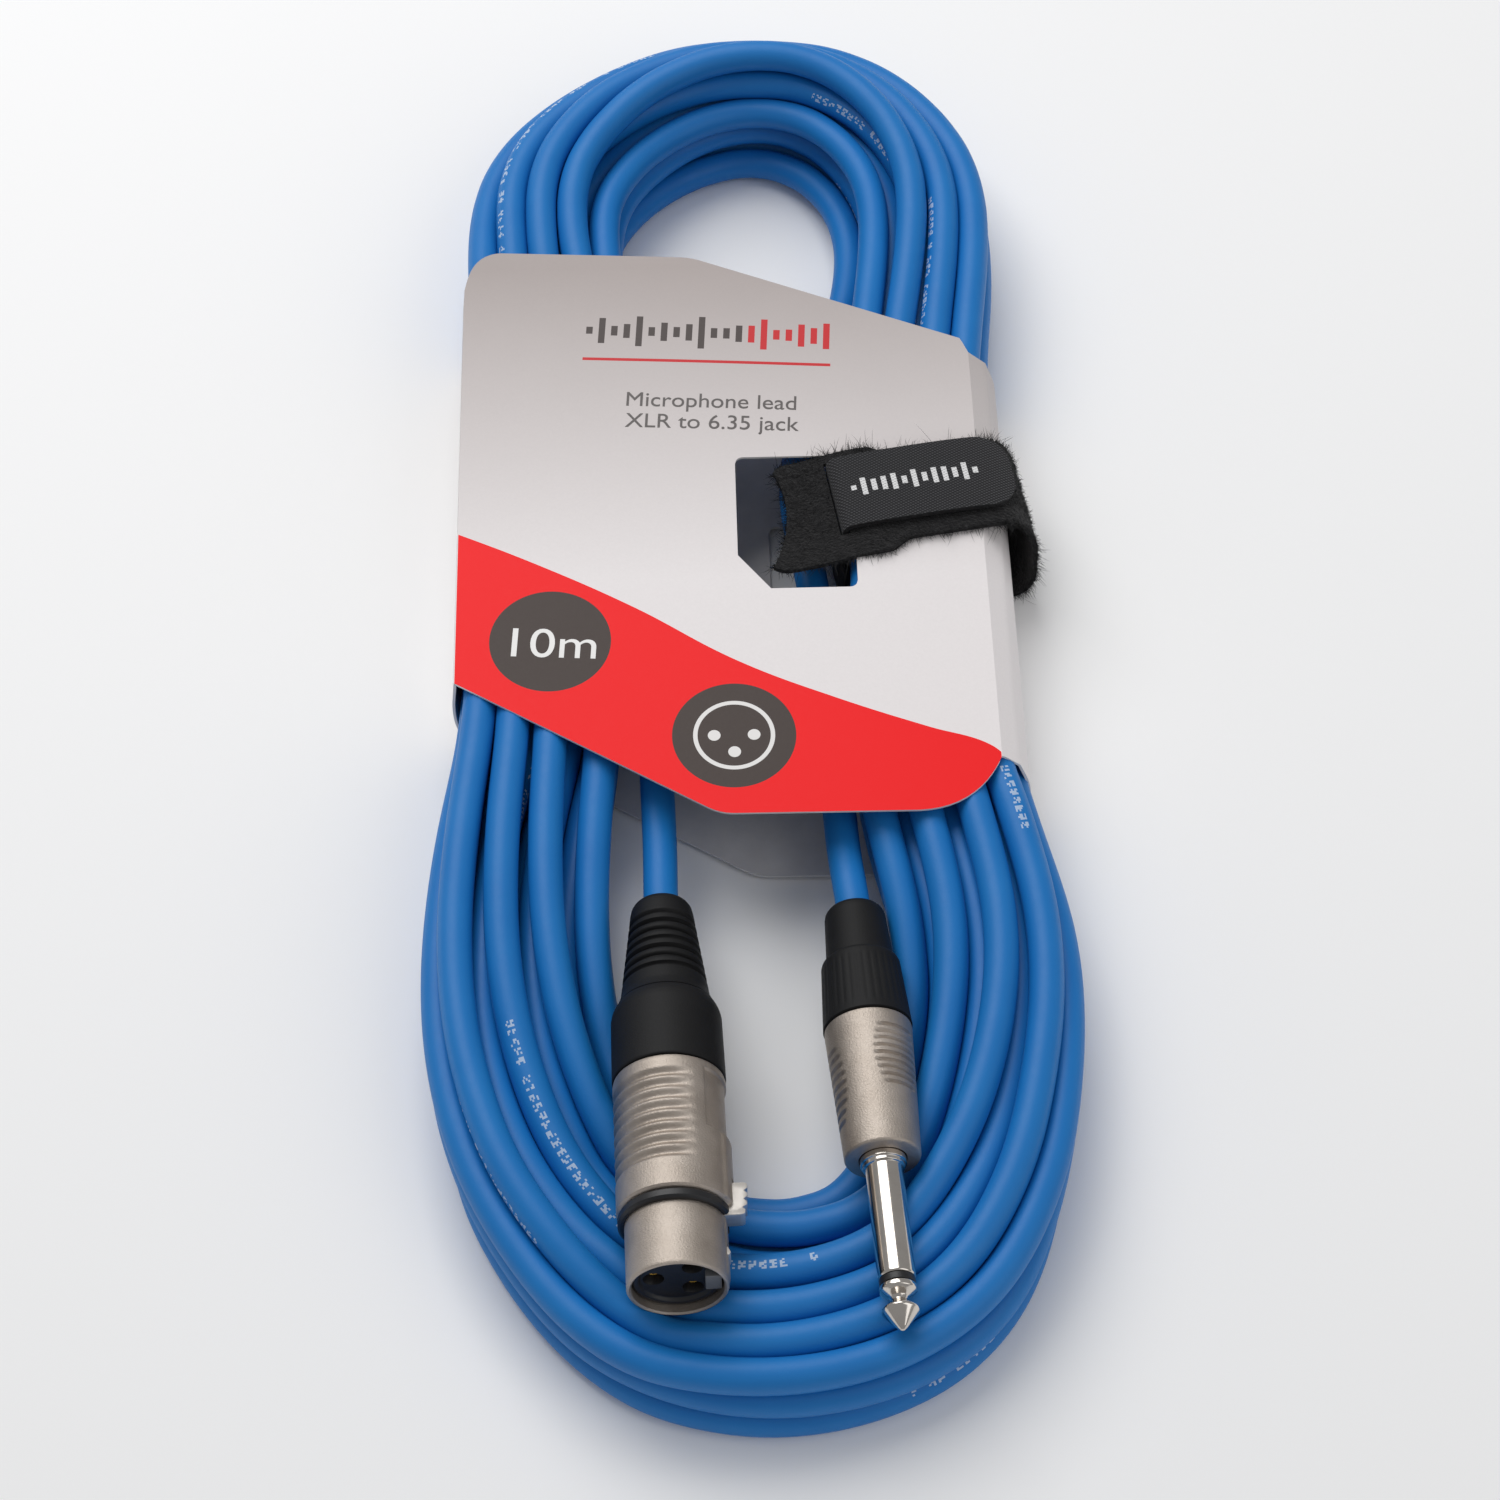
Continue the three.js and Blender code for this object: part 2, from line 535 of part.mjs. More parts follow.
function jackPlug() {
  const group = new THREE.Group();
  group.position.set(...JACK_FACE);
  group.rotation.set(JACK_PITCH, 0, JACK_YAW, 'ZYX');
  const chuckOuter = [[JACK_JACKET_END + 0.5, 5.1], [31.5, 5.1], [35, 4.2]];
  group.add(mesh('jack_shell', jackShellGeometry(), NICKEL));
  group.add(mesh('jack_collar', jackCollarGeometry(), BLACK_PLASTIC));
  group.add(mesh('jack_sleeve_contact', jackSleeveContactGeometry(), BRIGHT_NICKEL));
  group.add(mesh('jack_insulator', jackInsulatorGeometry(), BLACK_PLASTIC));
  group.add(mesh('jack_tip', jackTipGeometry(), BRIGHT_NICKEL));
  group.add(mesh('jack_chuck', chuckGeometry(chuckOuter, [JACK_JACKET_END + 0.5, 35]), GREY_PLASTIC));
  const leadEnd = JACK_JACKET_END - GAP;
  group.add(mesh('jack_lead_tip', leadGeometry([0, 9.8, 0], [0.9, leadEnd, 0]), LEAD_WHITE));
  group.add(mesh('jack_lead_shield', leadGeometry([-2.8, 7.3, 0], [-1.3, leadEnd, 0]), LEAD_COPPER));
  const boot = { start: JACK.collarEnd + GAP, end: JACK.bootEnd, frontR: 5.8, backR: 5.3, grooves: 0, depth: 0.9 };
  group.add(mesh('jack_boot', bootGeometry({ ...boot, spigotR: 4.1, spigotLength: 3.4 }), BOOT_RUBBER));
  return group;
}

// ---------------------------------------------------------------- assembly

const lead = new THREE.Group();
const xlr = xlrConnector();
const jack = jackPlug();
const xlrTail = tailGeometry(xlr, [XLR_JACKET_END, 50, 65, 74, XLR_BOOT_END], XLR_TAIL_ROUTE);
const jackTail = tailGeometry(jack, [JACK_JACKET_END, 36, 47, JACK.bootEnd], JACK_TAIL_ROUTE);
lead.add(mesh('cable_coil', coilGeometry(), CABLE_BLUE));
lead.add(mesh('xlr_tail', xlrTail, CABLE_BLUE));
lead.add(mesh('jack_tail', jackTail, CABLE_BLUE));
lead.add(mesh('card_sleeve', sleeveGeometry(), CARD_GREY));
lead.add(strap(), xlr, jack);

// The frame's origin is the middle of the object's footprint, on the floor.
const extent = new THREE.Box3().setFromObject(lead, true);
const middle = extent.getCenter(new THREE.Vector3());
lead.position.set(-middle.x, -middle.y, -extent.min.z);

export default lead;
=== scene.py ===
# A coiled 10 m microphone lead in a card sleeve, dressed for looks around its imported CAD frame.
# Shapes are worked out in the CAD drawing's millimetres and placed in the frame, in metres, +Z up.
import math

import bmesh
import bpy
import numpy as np
from mathutils import Matrix, Vector


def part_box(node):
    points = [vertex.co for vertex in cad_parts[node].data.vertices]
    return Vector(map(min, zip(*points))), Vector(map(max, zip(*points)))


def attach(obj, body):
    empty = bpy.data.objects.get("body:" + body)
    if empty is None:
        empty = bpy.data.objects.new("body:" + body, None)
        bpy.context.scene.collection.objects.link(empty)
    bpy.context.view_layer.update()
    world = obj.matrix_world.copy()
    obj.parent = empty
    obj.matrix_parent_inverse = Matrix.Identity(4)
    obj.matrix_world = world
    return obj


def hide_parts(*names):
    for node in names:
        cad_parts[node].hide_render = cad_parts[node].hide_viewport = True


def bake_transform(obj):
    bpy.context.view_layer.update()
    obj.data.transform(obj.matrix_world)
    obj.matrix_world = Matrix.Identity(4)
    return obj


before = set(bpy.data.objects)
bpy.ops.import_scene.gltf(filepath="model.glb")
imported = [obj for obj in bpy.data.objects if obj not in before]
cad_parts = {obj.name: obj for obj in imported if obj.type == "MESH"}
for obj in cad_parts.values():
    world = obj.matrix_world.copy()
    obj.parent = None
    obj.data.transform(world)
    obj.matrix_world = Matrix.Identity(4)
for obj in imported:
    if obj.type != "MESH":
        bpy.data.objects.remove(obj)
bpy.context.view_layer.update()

# ---------------------------------------------------------------- sizes shared with the CAD drawing

MM = 0.001
CABLE_R = 3.1
CARD_T = 0.5
CARD_FRONT_Z = 24.0
CARD_BACK_Z = 1.3
CARD_FRONT_X = (-53.5, 45.3)
CARD_BACK_X = (-47.5, 48.0)
CARD_LEAN = 0.29
CARD_FAR_Y = 86.6
CARD_RIGHT_X = 51.4
CARD_RIGHT_WALL = [(48.9, 20.5), (51.0, 14), (51.4, 8.5), (50.2, 3.4)]
CARD_LEFT_WALL = [(-51.4, 3.0), (-53.8, 8), (-54.4, 15)]

XLR_FACE = (-14.5, -137, 24)
XLR_TURN = (-7.16, 1.43)
XLR_BOOT_END = 77.8
JACK_FACE = (20.1, -112.9, 20)
JACK_TURN = (-5.41, 2.7)
JACK_BOOT_END = 51.0

STRAP_PIVOT = (32, 23.2)
STRAP_TURN = math.radians(9)

# The frame's origin is the middle of the footprint, so the drawing is shifted onto its packed sleeve.
SLEEVE_HIGH = np.array(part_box("card_sleeve")[1]) / MM
DRAWING_SHIFT = SLEEVE_HIGH - (CARD_RIGHT_X, CARD_FAR_Y, CARD_FRONT_Z)


def placed(points):
    """Points of the drawing, in millimetres, as points of the frame, in metres."""
    return (np.asarray(points, float) + DRAWING_SHIFT) * MM


def connector_matrix(face, turn):
    """A connector's own frame: y runs from its face to the cable, in millimetres."""
    pitch, yaw = (math.radians(angle) for angle in turn)
    return Matrix.Translation(face) @ Matrix.Rotation(yaw, 4, "Z") @ Matrix.Rotation(pitch, 4, "X")


def turned_by(matrix, points):
    """Points of a connector's frame as points of the drawing."""
    return np.asarray(points, float) @ np.array(matrix.to_3x3()).T + np.array(matrix.translation)


def in_frame(matrix, points):
    """Points of a connector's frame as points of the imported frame, in metres."""
    return placed(turned_by(matrix, points))


XLR_MATRIX = connector_matrix(XLR_FACE, XLR_TURN)
JACK_MATRIX = connector_matrix(JACK_FACE, JACK_TURN)
STRAP_MATRIX = Matrix.Translation((*STRAP_PIVOT, 0)) @ Matrix.Rotation(STRAP_TURN, 4, "Z")

# ---------------------------------------------------------------- camera

VIEW_AZIMUTH = math.radians(1.6)
VIEW_ELEVATION = math.radians(57)
VIEW_DISTANCE = 600
VIEW_AIM = (0.5, -17.6, 0)
VIEW_LENS = 76.3
VIEW_SENSOR = 36


def make_camera():
    data = bpy.data.cameras.new("view_camera")
    data.sensor_width = VIEW_SENSOR
    data.lens = VIEW_LENS
    camera = bpy.data.objects.new("view_camera", data)
    bpy.context.collection.objects.link(camera)
    level = Vector((math.sin(VIEW_AZIMUTH), math.cos(VIEW_AZIMUTH), 0))
    forward = level * math.cos(VIEW_ELEVATION) - Vector((0, 0, math.sin(VIEW_ELEVATION)))
    camera.location = placed(Vector(VIEW_AIM) - forward * VIEW_DISTANCE)
    camera.rotation_euler = forward.to_track_quat("-Z", "Y").to_euler()
    bpy.context.scene.camera = camera


make_camera()

# ---------------------------------------------------------------- cable: the wound path

# The coil's middle line, clockwise from the left leg: x, y, and the bundle's width there.
COIL_LINE = np.array([
    (-38.7, 20, 26.8), (-38.7, 70, 27.0), (-38.9, 97, 28.4), (-36.0, 113.5, 28.0), (-26.0, 127.2, 28.0),
    (-12.0, 137.4, 30.0), (5.5, 142, 31.0), (20.5, 137.0, 30.0), (31.2, 125.2, 28.0), (37.6, 109, 27.5),
    (38.0, 88, 29.0), (36.0, 62, 27.0), (35.5, 20, 27.0), (35.8, -20, 27.0), (37.0, -38, 27.5),
    (40.0, -55, 29.2), (42.0, -70, 30.5), (41.6, -88, 29.0), (37.2, -109.5, 29.5), (25.5, -128.5, 35.0),
    (3.0, -135.4, 41.6), (-19.5, -129.8, 34.0), (-35.2, -112.3, 28.6), (-41.6, -92, 30.0),
    (-43.4, -70, 30.4), (-42.0, -45, 29.4), (-39.2, -20, 27.0),
])
# Places on that line, as point numbers.
LEFT_TOP, APEX, RIGHT_TOP, RIGHT_LOW = 2, 6, 10, 13
RIGHT_BULGE, BOTTOM, LEFT_BULGE, LEFT_LOW = 16, 20, 24, 26

# Where each turn lies in the bundle, as (outward from the line, up from the floor):
# in the legs, at the top of the far arc, and at the bottom of the near arc.
TURNS = [
    ((-10.2, 19.9), (-10.0, 18.0), (-17.8, 3.1)),
    ((-3.7, 20.0), (5.2, 22.9), (-12.0, 8.6)),
    ((2.5, 20.0), (9.8, 17.3), (-5.5, 13.6)),
    ((8.4, 19.6), (10.3, 11.0), (5.6, 13.9)),
    ((11.6, 14.2), (3.9, 10.6), (9.0, 8.5)),
    ((5.4, 14.6), (3.4, 16.9), (-3.7, 8.5)),
    ((-0.9, 14.8), (-2.2, 21.3), (-6.6, 3.1)),
    ((-7.2, 14.6), (-3.6, 15.2), (-12.5, 3.1)),
    ((-10.2, 9.4), (-10.0, 11.6), (-0.3, 3.1)),
    ((-3.6, 9.6), (-2.9, 9.0), (2.6, 8.5)),
    ((2.8, 9.4), (6.3, 4.6), (6.0, 3.1)),
    ((9.2, 9.0), (10.3, 5.5), (15.4, 8.5)),
    ((6.4, 5.0), (0.5, 3.2), (17.4, 3.1)),
    ((0.0, 5.0), (-5.5, 3.5), (12.0, 3.1)),
    ((-6.2, 5.0), (-8.8, 5.2), (0.5, 3.1)),
]
LAST_HALF_TURN = ((-12.5, 9.0), (-8.5, 8.2), (-9.0, 13.6))

# The uncoiled stretches, as in part.mjs, and on to the legs that they join.
XLR_TAIL = [
    (-17.1, -46, 13.4), (-18.3, -28, 14.6), (-20.0, -8, 17.0), (-21.2, 12, 18.4),
    (-22.6, 34, 19.2), (-25.2, 56, 19.8), (-27.8, 78, 20.1),
]
JACK_TAIL = [
    (16.7, -47, 14.3), (16.6, -28, 15.2), (16.2, -8, 16.8), (15.2, 12, 17.8),
    (12.8, 32, 17.9), (15.4, 47, 17.0), (21.0, 66, 15.2),
]
STEP = 3.0
FAR_OFF = 1000.0
# At the far arc the upper turns lie further in than the lower ones: the sum of y and z has a rounded limit.
APEX_LEAN, APEX_LEVEL = 0.45, 14.0
APEX_REACH, APEX_MIDDLE, APEX_ROUND = 164.2, 4.0, 0.0065


def spline(points, at, closed=False):
    """A Catmull-Rom curve through points, at fractional point numbers."""
    points = np.asarray(points, float)
    count = len(points)
    if closed:
        index = np.floor(at).astype(int)
        p0, p1, p2, p3 = (points[(index + k) % count] for k in (-1, 0, 1, 2))
    else:
        at = np.clip(at, 0, count - 1 - 1e-9)
        index = np.floor(at).astype(int)
        ends = np.vstack([2 * points[0] - points[1], points, 2 * points[-1] - points[-2]])
        p0, p1, p2, p3 = (ends[index + k] for k in range(4))
    f = (at - index)[:, None]
    cubic = 3 * p1 - p0 - 3 * p2 + p3
    return 0.5 * (2 * p1 + (p2 - p0) * f + (2 * p0 - 5 * p1 + 4 * p2 - p3) * f**2 + cubic * f**3)


def unit(rows):
    """The same rows, each a unit long."""
    return rows / np.linalg.norm(rows, axis=1)[:, None]


def lengths_along(points):
    """How far along its line each point is."""
    return np.r_[0, np.cumsum(np.linalg.norm(np.diff(points, axis=0), axis=1))]


def spaced(rows, step):
    """The same rows, a step apart along the line of their first three columns."""
    along = lengths_along(rows[:, :3])
    stops = np.linspace(0, along[-1], int(round(along[-1] / step)) + 1)
    return np.stack([np.interp(stops, along, column) for column in rows.T], 1)


def smoothed(rows, sigma):
    """Rows averaged with their neighbours by a bell curve, with both ends kept."""
    reach = int(3 * sigma + 1)
    bell = np.exp(-0.5 * (np.arange(-reach, reach + 1) / sigma) ** 2)
    bell /= bell.sum()
    before = 2 * rows[0] - rows[reach:0:-1]
    after = 2 * rows[-1] - rows[-2:-reach - 2:-1]
    padded = np.vstack([before, rows, after])
    return np.stack([np.convolve(column, bell, "valid") for column in padded.T], 1)


def turn_keys():
    """(place along all turns, outward, up) wherever a turn's place in the bundle is set."""
    keys = []
    for number, (leg, apex, bottom) in enumerate(TURNS):
        apex = (apex[0] * 0.85 + 1.2 + APEX_LEAN * (APEX_LEVEL - apex[1]), apex[1])
        right_top = (leg[0] * 0.82 + 2.2, leg[1])
        start = number * len(COIL_LINE)
        layer = np.clip(round((leg[1] - 5) / 5), 0, 3)
        bulge = (leg[0] * (0.92 + 0.08 * layer) + 0.8, leg[1] * 0.92)
        places = [(LEFT_TOP, leg), (APEX, apex), (RIGHT_TOP, right_top), (RIGHT_LOW, leg),
                  (RIGHT_BULGE, bulge), (BOTTOM, bottom), (LEFT_BULGE, bulge), (LEFT_LOW, leg)]
        keys += [(start + place, *slot) for place, slot in places]
    start = len(TURNS) * len(COIL_LINE)
    keys += [(start + place, *slot) for place, slot in zip((LEFT_TOP, APEX, RIGHT_TOP), LAST_HALF_TURN)]
    return np.array(keys)


def tail_rows(matrix, stops, route):
    """An uncoiled stretch from its connector, with no outline to stay inside."""
    points = [tuple(matrix @ Vector((0, y, 0))) for y in stops] + route
    line = spline(points, np.linspace(0, len(points) - 1, 200))
    return np.column_stack([line, line[:, :2], np.zeros((len(line), 2)), np.full(len(line), FAR_OFF)])


def wound_path():
    """The whole lead as rows: x, y, z, the coil line's x and y, outward's x and y, and the furthest out."""
    keys = turn_keys()
    at = np.arange(keys[0, 0], keys[-1, 0], 0.04)
    slots = smoothed(np.stack([np.interp(at, keys[:, 0], keys[:, k]) for k in (1, 2)], 1), 22)
    line = spline(COIL_LINE, at, closed=True)
    tangent = unit(np.gradient(line[:, :2], axis=0))
    outward = np.stack([-tangent[:, 1], tangent[:, 0]], 1)
    limit = line[:, 2] / 2 - CABLE_R + 0.4
    out = np.minimum(slots[:, 0], limit)[:, None]
    turns = np.column_stack([line[:, :2] + outward * out, slots[:, 1], line[:, :2], outward, limit])
    first = tail_rows(XLR_MATRIX, (70, XLR_BOOT_END), XLR_TAIL)
    last = tail_rows(JACK_MATRIX, (44, JACK_BOOT_END), JACK_TAIL)
    return smoothed(spaced(np.vstack([first, turns[5:-5], last[::-1]]), STEP), 2)


# ---------------------------------------------------------------- cable: settling the turns

# The sleeve's inner section as x and z, anticlockwise, and the y of its cut ends along the front panel.
SLEEVE_SECTION = [
    (-47.2, 1.8), (47.6, 1.8), (49.7, 3.6), (50.9, 8.5), (50.5, 14), (48.5, 20.3), (45.1, 23.5),
    (-53.0, 23.5), (-53.9, 15), (-53.3, 8), (-51.1, 3.3),
]
SLEEVE_NEAR_END = np.array([(-53.6, -17.1), (-5.6, -46.4), (29.9, -46.7), (45.4, -35.5)])
SLEEVE_FAR_END = np.array([(-53.4, 77), (-46.6, CARD_FAR_Y), (-8.6, 84.3), (43.9, 62), (45.3, 58.4)])
# The strap's riser between the legs, and each connector's radius along its own y.
RISER_X, RISER_HALF, RISER_Y = 18.4, 0.65, (8, 34)
XLR_RADII = np.array([(-1, 8.4), (13.4, 8.4), (14, 9.65), (55, 9.75), (56, 8.6), (77.8, 5.5)])
JACK_RADII = np.array([(-33, 2.0), (-31, 3.2), (-0.5, 3.3), (0, 6.5), (26, 7.7), (39, 7.0), (40, 5.8),
                       (51, 5.4)])
TOUCHING = 6.28
ROUNDS, QUICK_ROUNDS = 500, 120
HELD_ENDS = 5
# Points this near an end are inside its own connector, and aren't pushed out of it.
OWN_ENDS = 14
SINK = 0.02
PULL_BACK = 0.03
# How strongly a point's move is averaged with those of its neighbours so many numbers away.
STIFFNESS = ((1, 0.21), (3, 0.21), (6, 0.14))
PAIRS_EVERY = 6
OUTLINE_PULL = 0.7


def close_pairs(points, reach, apart):
    """Index pairs closer than reach and more than apart numbers apart, by a grid of cells."""
    cells = np.floor(points / reach).astype(np.int64)
    cells -= cells.min(0)
    size = cells.max(0) + 3
    key = (cells[:, 0] * size[1] + cells[:, 1]) * size[2] + cells[:, 2]
    order = np.argsort(key, kind="stable")
    ranked = key[order]
    firsts, seconds = [], []
    steps = [(x, y, z) for x in (0, 1) for y in (-1, 0, 1) for z in (-1, 0, 1)]
    for offset in [(x * size[1] + y) * size[2] + z for x, y, z in steps]:
        if offset < 0:
            continue
        low = np.searchsorted(ranked, key + offset, "left")
        found = np.searchsorted(ranked, key + offset, "right") - low
        first = np.repeat(np.arange(len(points)), found)
        start = np.repeat(low - np.r_[0, np.cumsum(found)[:-1]], found)
        second = order[np.arange(found.sum()) + start]
        once = second > first if offset == 0 else np.ones(len(first), bool)
        firsts.append(first[once])
        seconds.append(second[once])
    first, second = np.concatenate(firsts), np.concatenate(seconds)
    near = (np.abs(first - second) > apart) & (((points[first] - points[second]) ** 2).sum(1) < reach**2)
    return first[near], second[near]


def separate(points, first, second):
    """Push pairs of points that are closer than the cable is thick straight apart."""
    gap = points[second] - points[first]
    length = np.sqrt((gap**2).sum(1))
    hit = length < TOUCHING
    first, second = first[hit], second[hit]
    push = gap[hit] * ((TOUCHING - length[hit]) / np.maximum(length[hit], 1e-6) * 0.5)[:, None]
    count = len(points)
    hits = np.bincount(first, minlength=count) + np.bincount(second, minlength=count)
    moves = [np.bincount(second, side, count) - np.bincount(first, side, count) for side in push.T]
    points += np.stack(moves, 1) * 0.9 / np.sqrt(np.maximum(hits, 1))[:, None]


def keep_length(points, rest):
    """Bring neighbours back to a step apart, every other pair at a time."""
    for start in (0, 1):
        first = np.arange(start, len(points) - 1, 2)
        gap = points[first + 1] - points[first]
        length = np.sqrt((gap**2).sum(1))[:, None]
        share = gap * (length - rest) / length * 0.5
        points[first] += share
        points[first + 1] -= share


def clear_connector(points, matrix, radii, free):
    """Push points out of a connector's outline, in its own frame."""
    turn = np.array(matrix.to_3x3())
    own = (points - np.array(matrix.translation)) @ turn
    radius = np.hypot(own[:, 0], own[:, 2])
    limit = np.interp(own[:, 1], radii[:, 0], radii[:, 1]) + CABLE_R + 0.15
    hit = free & (own[:, 1] > radii[0, 0] - 2) & (own[:, 1] < radii[-1, 0]) & (radius < limit)
    scale = (limit[hit] / np.maximum(radius[hit], 1e-6))[:, None]
    own[hit] *= np.hstack([scale, np.ones_like(scale), scale])
    points[hit] = own[hit] @ turn.T + np.array(matrix.translation)


def clear_sleeve(points):
    """Keep what runs through the sleeve inside its walls and off the strap's riser."""
    front_x = points[:, 0] - CARD_LEAN * (CARD_FRONT_Z - points[:, 2])
    near = np.interp(front_x, *SLEEVE_NEAR_END.T) - 1
    far = np.interp(front_x, *SLEEVE_FAR_END.T) + 1
    inside = np.flatnonzero((points[:, 1] > near) & (points[:, 1] < far))
    section = points[np.ix_(inside, (0, 2))]
    corners = np.array(SLEEVE_SECTION)
    for start, end in zip(corners, np.roll(corners, -1, axis=0)):
        along = (end - start) / np.linalg.norm(end - start)
        inward = np.array((-along[1], along[0]))
        short = CABLE_R + 0.05 - (section - start) @ inward
        section += np.maximum(short, 0)[:, None] * inward
    points[inside, 0], points[inside, 2] = section.T
    beside = (points[:, 1] > RISER_Y[0]) & (points[:, 1] < RISER_Y[1])
    riser = RISER_X - (points[:, 1] - sum(RISER_Y) / 2) * math.tan(STRAP_TURN)
    right = beside & (points[:, 0] > riser)
    left = beside & ~right & (points[:, 0] > 0)
    points[right, 0] = np.maximum(points[right, 0], riser[right] + RISER_HALF + CABLE_R)
    points[left, 0] = np.minimum(points[left, 0], riser[left] - RISER_HALF - CABLE_R)


def keep_outline(points, line, outward, limit):
    """Draw points that stand out of the bundle, or over the far arc's rounded limit, back towards it."""
    out = ((points[:, :2] - line) * outward).sum(1) - limit
    points[:, :2] -= outward * np.maximum(out, 0)[:, None] * OUTLINE_PULL
    reach = APEX_REACH - APEX_ROUND * (points[:, 0] - APEX_MIDDLE) ** 2
    points[:, 1] -= np.maximum(points[:, 1] + points[:, 2] - reach, 0) * OUTLINE_PULL


def settled(rows, rounds):
    """Let the turns find room beside and on each other, with their length and curves kept."""
    path, line, outward, limit = rows[:, :3], rows[:, 3:5], rows[:, 5:7], rows[:, 7]
    points = path.copy()
    rest = np.linalg.norm(np.diff(path, axis=0), axis=1).mean()
    numbers = np.arange(len(path))
    held = (numbers < HELD_ENDS) | (numbers >= len(path) - HELD_ENDS)
    off_xlr = numbers >= OWN_ENDS
    off_jack = numbers < len(path) - OWN_ENDS
    for number in range(rounds):
        if number % PAIRS_EVERY == 0:
            first, second = close_pairs(points, TOUCHING + 2, 8)
        points[:, 2] -= SINK
        points += (path - points) * PULL_BACK * (1 - number / rounds) ** 2
        for span, weight in STIFFNESS:
            moved = points - path
            middle = 0.5 * (moved[:-2 * span] + moved[2 * span:])
            points[span:-span] += (middle - moved[span:-span]) * weight
        for _ in range(2 if number < rounds * 0.7 else 5):
            keep_outline(points, line, outward, limit)
            separate(points, first, second)
            keep_length(points, rest)
            clear_connector(points, XLR_MATRIX, XLR_RADII, off_xlr)
            clear_connector(points, JACK_MATRIX, JACK_RADII, off_jack)
            points[:, 2] = np.maximum(points[:, 2], CABLE_R)
            clear_sleeve(points)
            points[held] = path[held]
    return points


# ---------------------------------------------------------------- mesh helpers

def mesh_piece(name, vertices, faces, uvs=None, face_slots=None, sharp=35):
    """A piece from points in the frame, with its faces turned outward and its hard edges kept crisp."""
    mesh = bpy.data.meshes.new(name)
    mesh.from_pydata(np.asarray(vertices).tolist(), [], faces)
    if uvs is not None:
        mesh.uv_layers.new(name="UVMap").data.foreach_set("uv", np.asarray(uvs, np.float32).ravel())
    if face_slots is not None:
        mesh.polygons.foreach_set("material_index", np.asarray(face_slots, np.int32))
    made = bmesh.new()
    made.from_mesh(mesh)
    bmesh.ops.remove_doubles(made, verts=made.verts, dist=1e-7)
    bmesh.ops.recalc_face_normals(made, faces=made.faces)
    made.to_mesh(mesh)
    made.free()
    mesh.shade_smooth()
    mesh.set_sharp_from_angle(angle=math.radians(sharp))
    piece = bpy.data.objects.new(name, mesh)
    bpy.context.collection.objects.link(piece)
    return piece


def grid_piece(name, layers, corners, uv, face_slots=None, sharp=35):
    """Faces between grids of points: corners holds each face's four (row, column, layer)."""
    rows, columns = layers[0].shape[:2]
    vertices = np.vstack([layer.reshape(-1, 3) for layer in layers])
    row, column, layer = (corners[..., k] for k in range(3))
    number = layer * rows * columns + (row % rows) * columns + column % columns
    used, faces = np.unique(number, return_inverse=True)
    faces = faces.reshape(number.shape).tolist()
    return mesh_piece(name, vertices[used], faces, uv[row, column].reshape(-1, 2), face_slots, sharp)


def sheet_piece(name, outer, inner, keep=None, wrap=False, uv=None, sharp=35):
    """A wall between two grids of points, closed round its edges and round every cell that is left out.

    Its faces take slot 0 outside, 1 inside and 2 on the cut edges."""
    rows, columns = outer.shape[:2]
    keep = np.ones((rows - 1, columns if wrap else columns - 1), bool) if keep is None else keep
    if uv is None:
        across = lengths_along(np.vstack([outer[0], outer[:1, 0]]))
        along = lengths_along(outer[:, 0])
        uv = np.stack(np.meshgrid(across, along), -1)
    ringed = np.pad(keep, 1)
    if wrap:
        ringed[1:-1, 0], ringed[1:-1, -1] = keep[:, -1], keep[:, 0]
    r, c = np.nonzero(keep)

    def quads(*steps):
        return np.stack([np.stack([r + dr, c + dc, 0 * r + layer], -1) for dr, dc, layer in steps], 1)

    faces = [quads((0, 0, 0), (0, 1, 0), (1, 1, 0), (1, 0, 0)),
             quads((1, 0, 1), (1, 1, 1), (0, 1, 1), (0, 0, 1))]
    slots = [np.zeros(len(r)), np.ones(len(r))]
    sides = [((-1, 0), (0, 0), (0, 1)), ((1, 0), (1, 0), (1, 1)), ((0, -1), (0, 0), (1, 0)),
             ((0, 1), (0, 1), (1, 1))]
    for (dr, dc), (r0, c0), (r1, c1) in sides:
        open_side = ~ringed[r + 1 + dr, c + 1 + dc]
        faces.append(quads((r0, c0, 0), (r1, c1, 0), (r1, c1, 1), (r0, c0, 1))[open_side])
        slots.append(np.full(open_side.sum(), 2))
    return grid_piece(name, [outer, inner], np.concatenate(faces), uv, np.concatenate(slots), sharp)


def lathe_piece(name, profile, matrix, closed=True, segments=96, ripple=None, sharp=35):
    """A solid turned about a connector's y. Its (along, radius) pairs close up, or start and end on y."""
    profile = np.asarray(profile, float)
    angle = np.arange(segments) * 2 * math.pi / segments
    radius = np.repeat(profile[:, 1:], segments, 1)
    if ripple is not None:
        radius = ripple(radius, profile[:, :1], angle[None, :])
    along = np.repeat(profile[:, :1], segments, 1)
    points = np.stack([radius * np.cos(angle), along, radius * np.sin(angle)], -1)
    layer = in_frame(matrix, points)
    rows = len(profile) if closed else len(profile) - 1
    r, c = (index.ravel() for index in np.meshgrid(np.arange(rows), np.arange(segments), indexing="ij"))
    corners = [np.stack([r + dr, c + dc, 0 * r], -1) for dr, dc in ((0, 0), (0, 1), (1, 1), (1, 0))]
    run = lengths_along(np.vstack([profile, profile[:1]])) * MM
    around = np.arange(segments + 1) * profile[:, 1].max() * 2 * math.pi / segments * MM
    uv = np.stack(np.meshgrid(around, run), -1)
    return grid_piece(name, [layer], np.stack(corners, 1), uv, sharp=sharp)


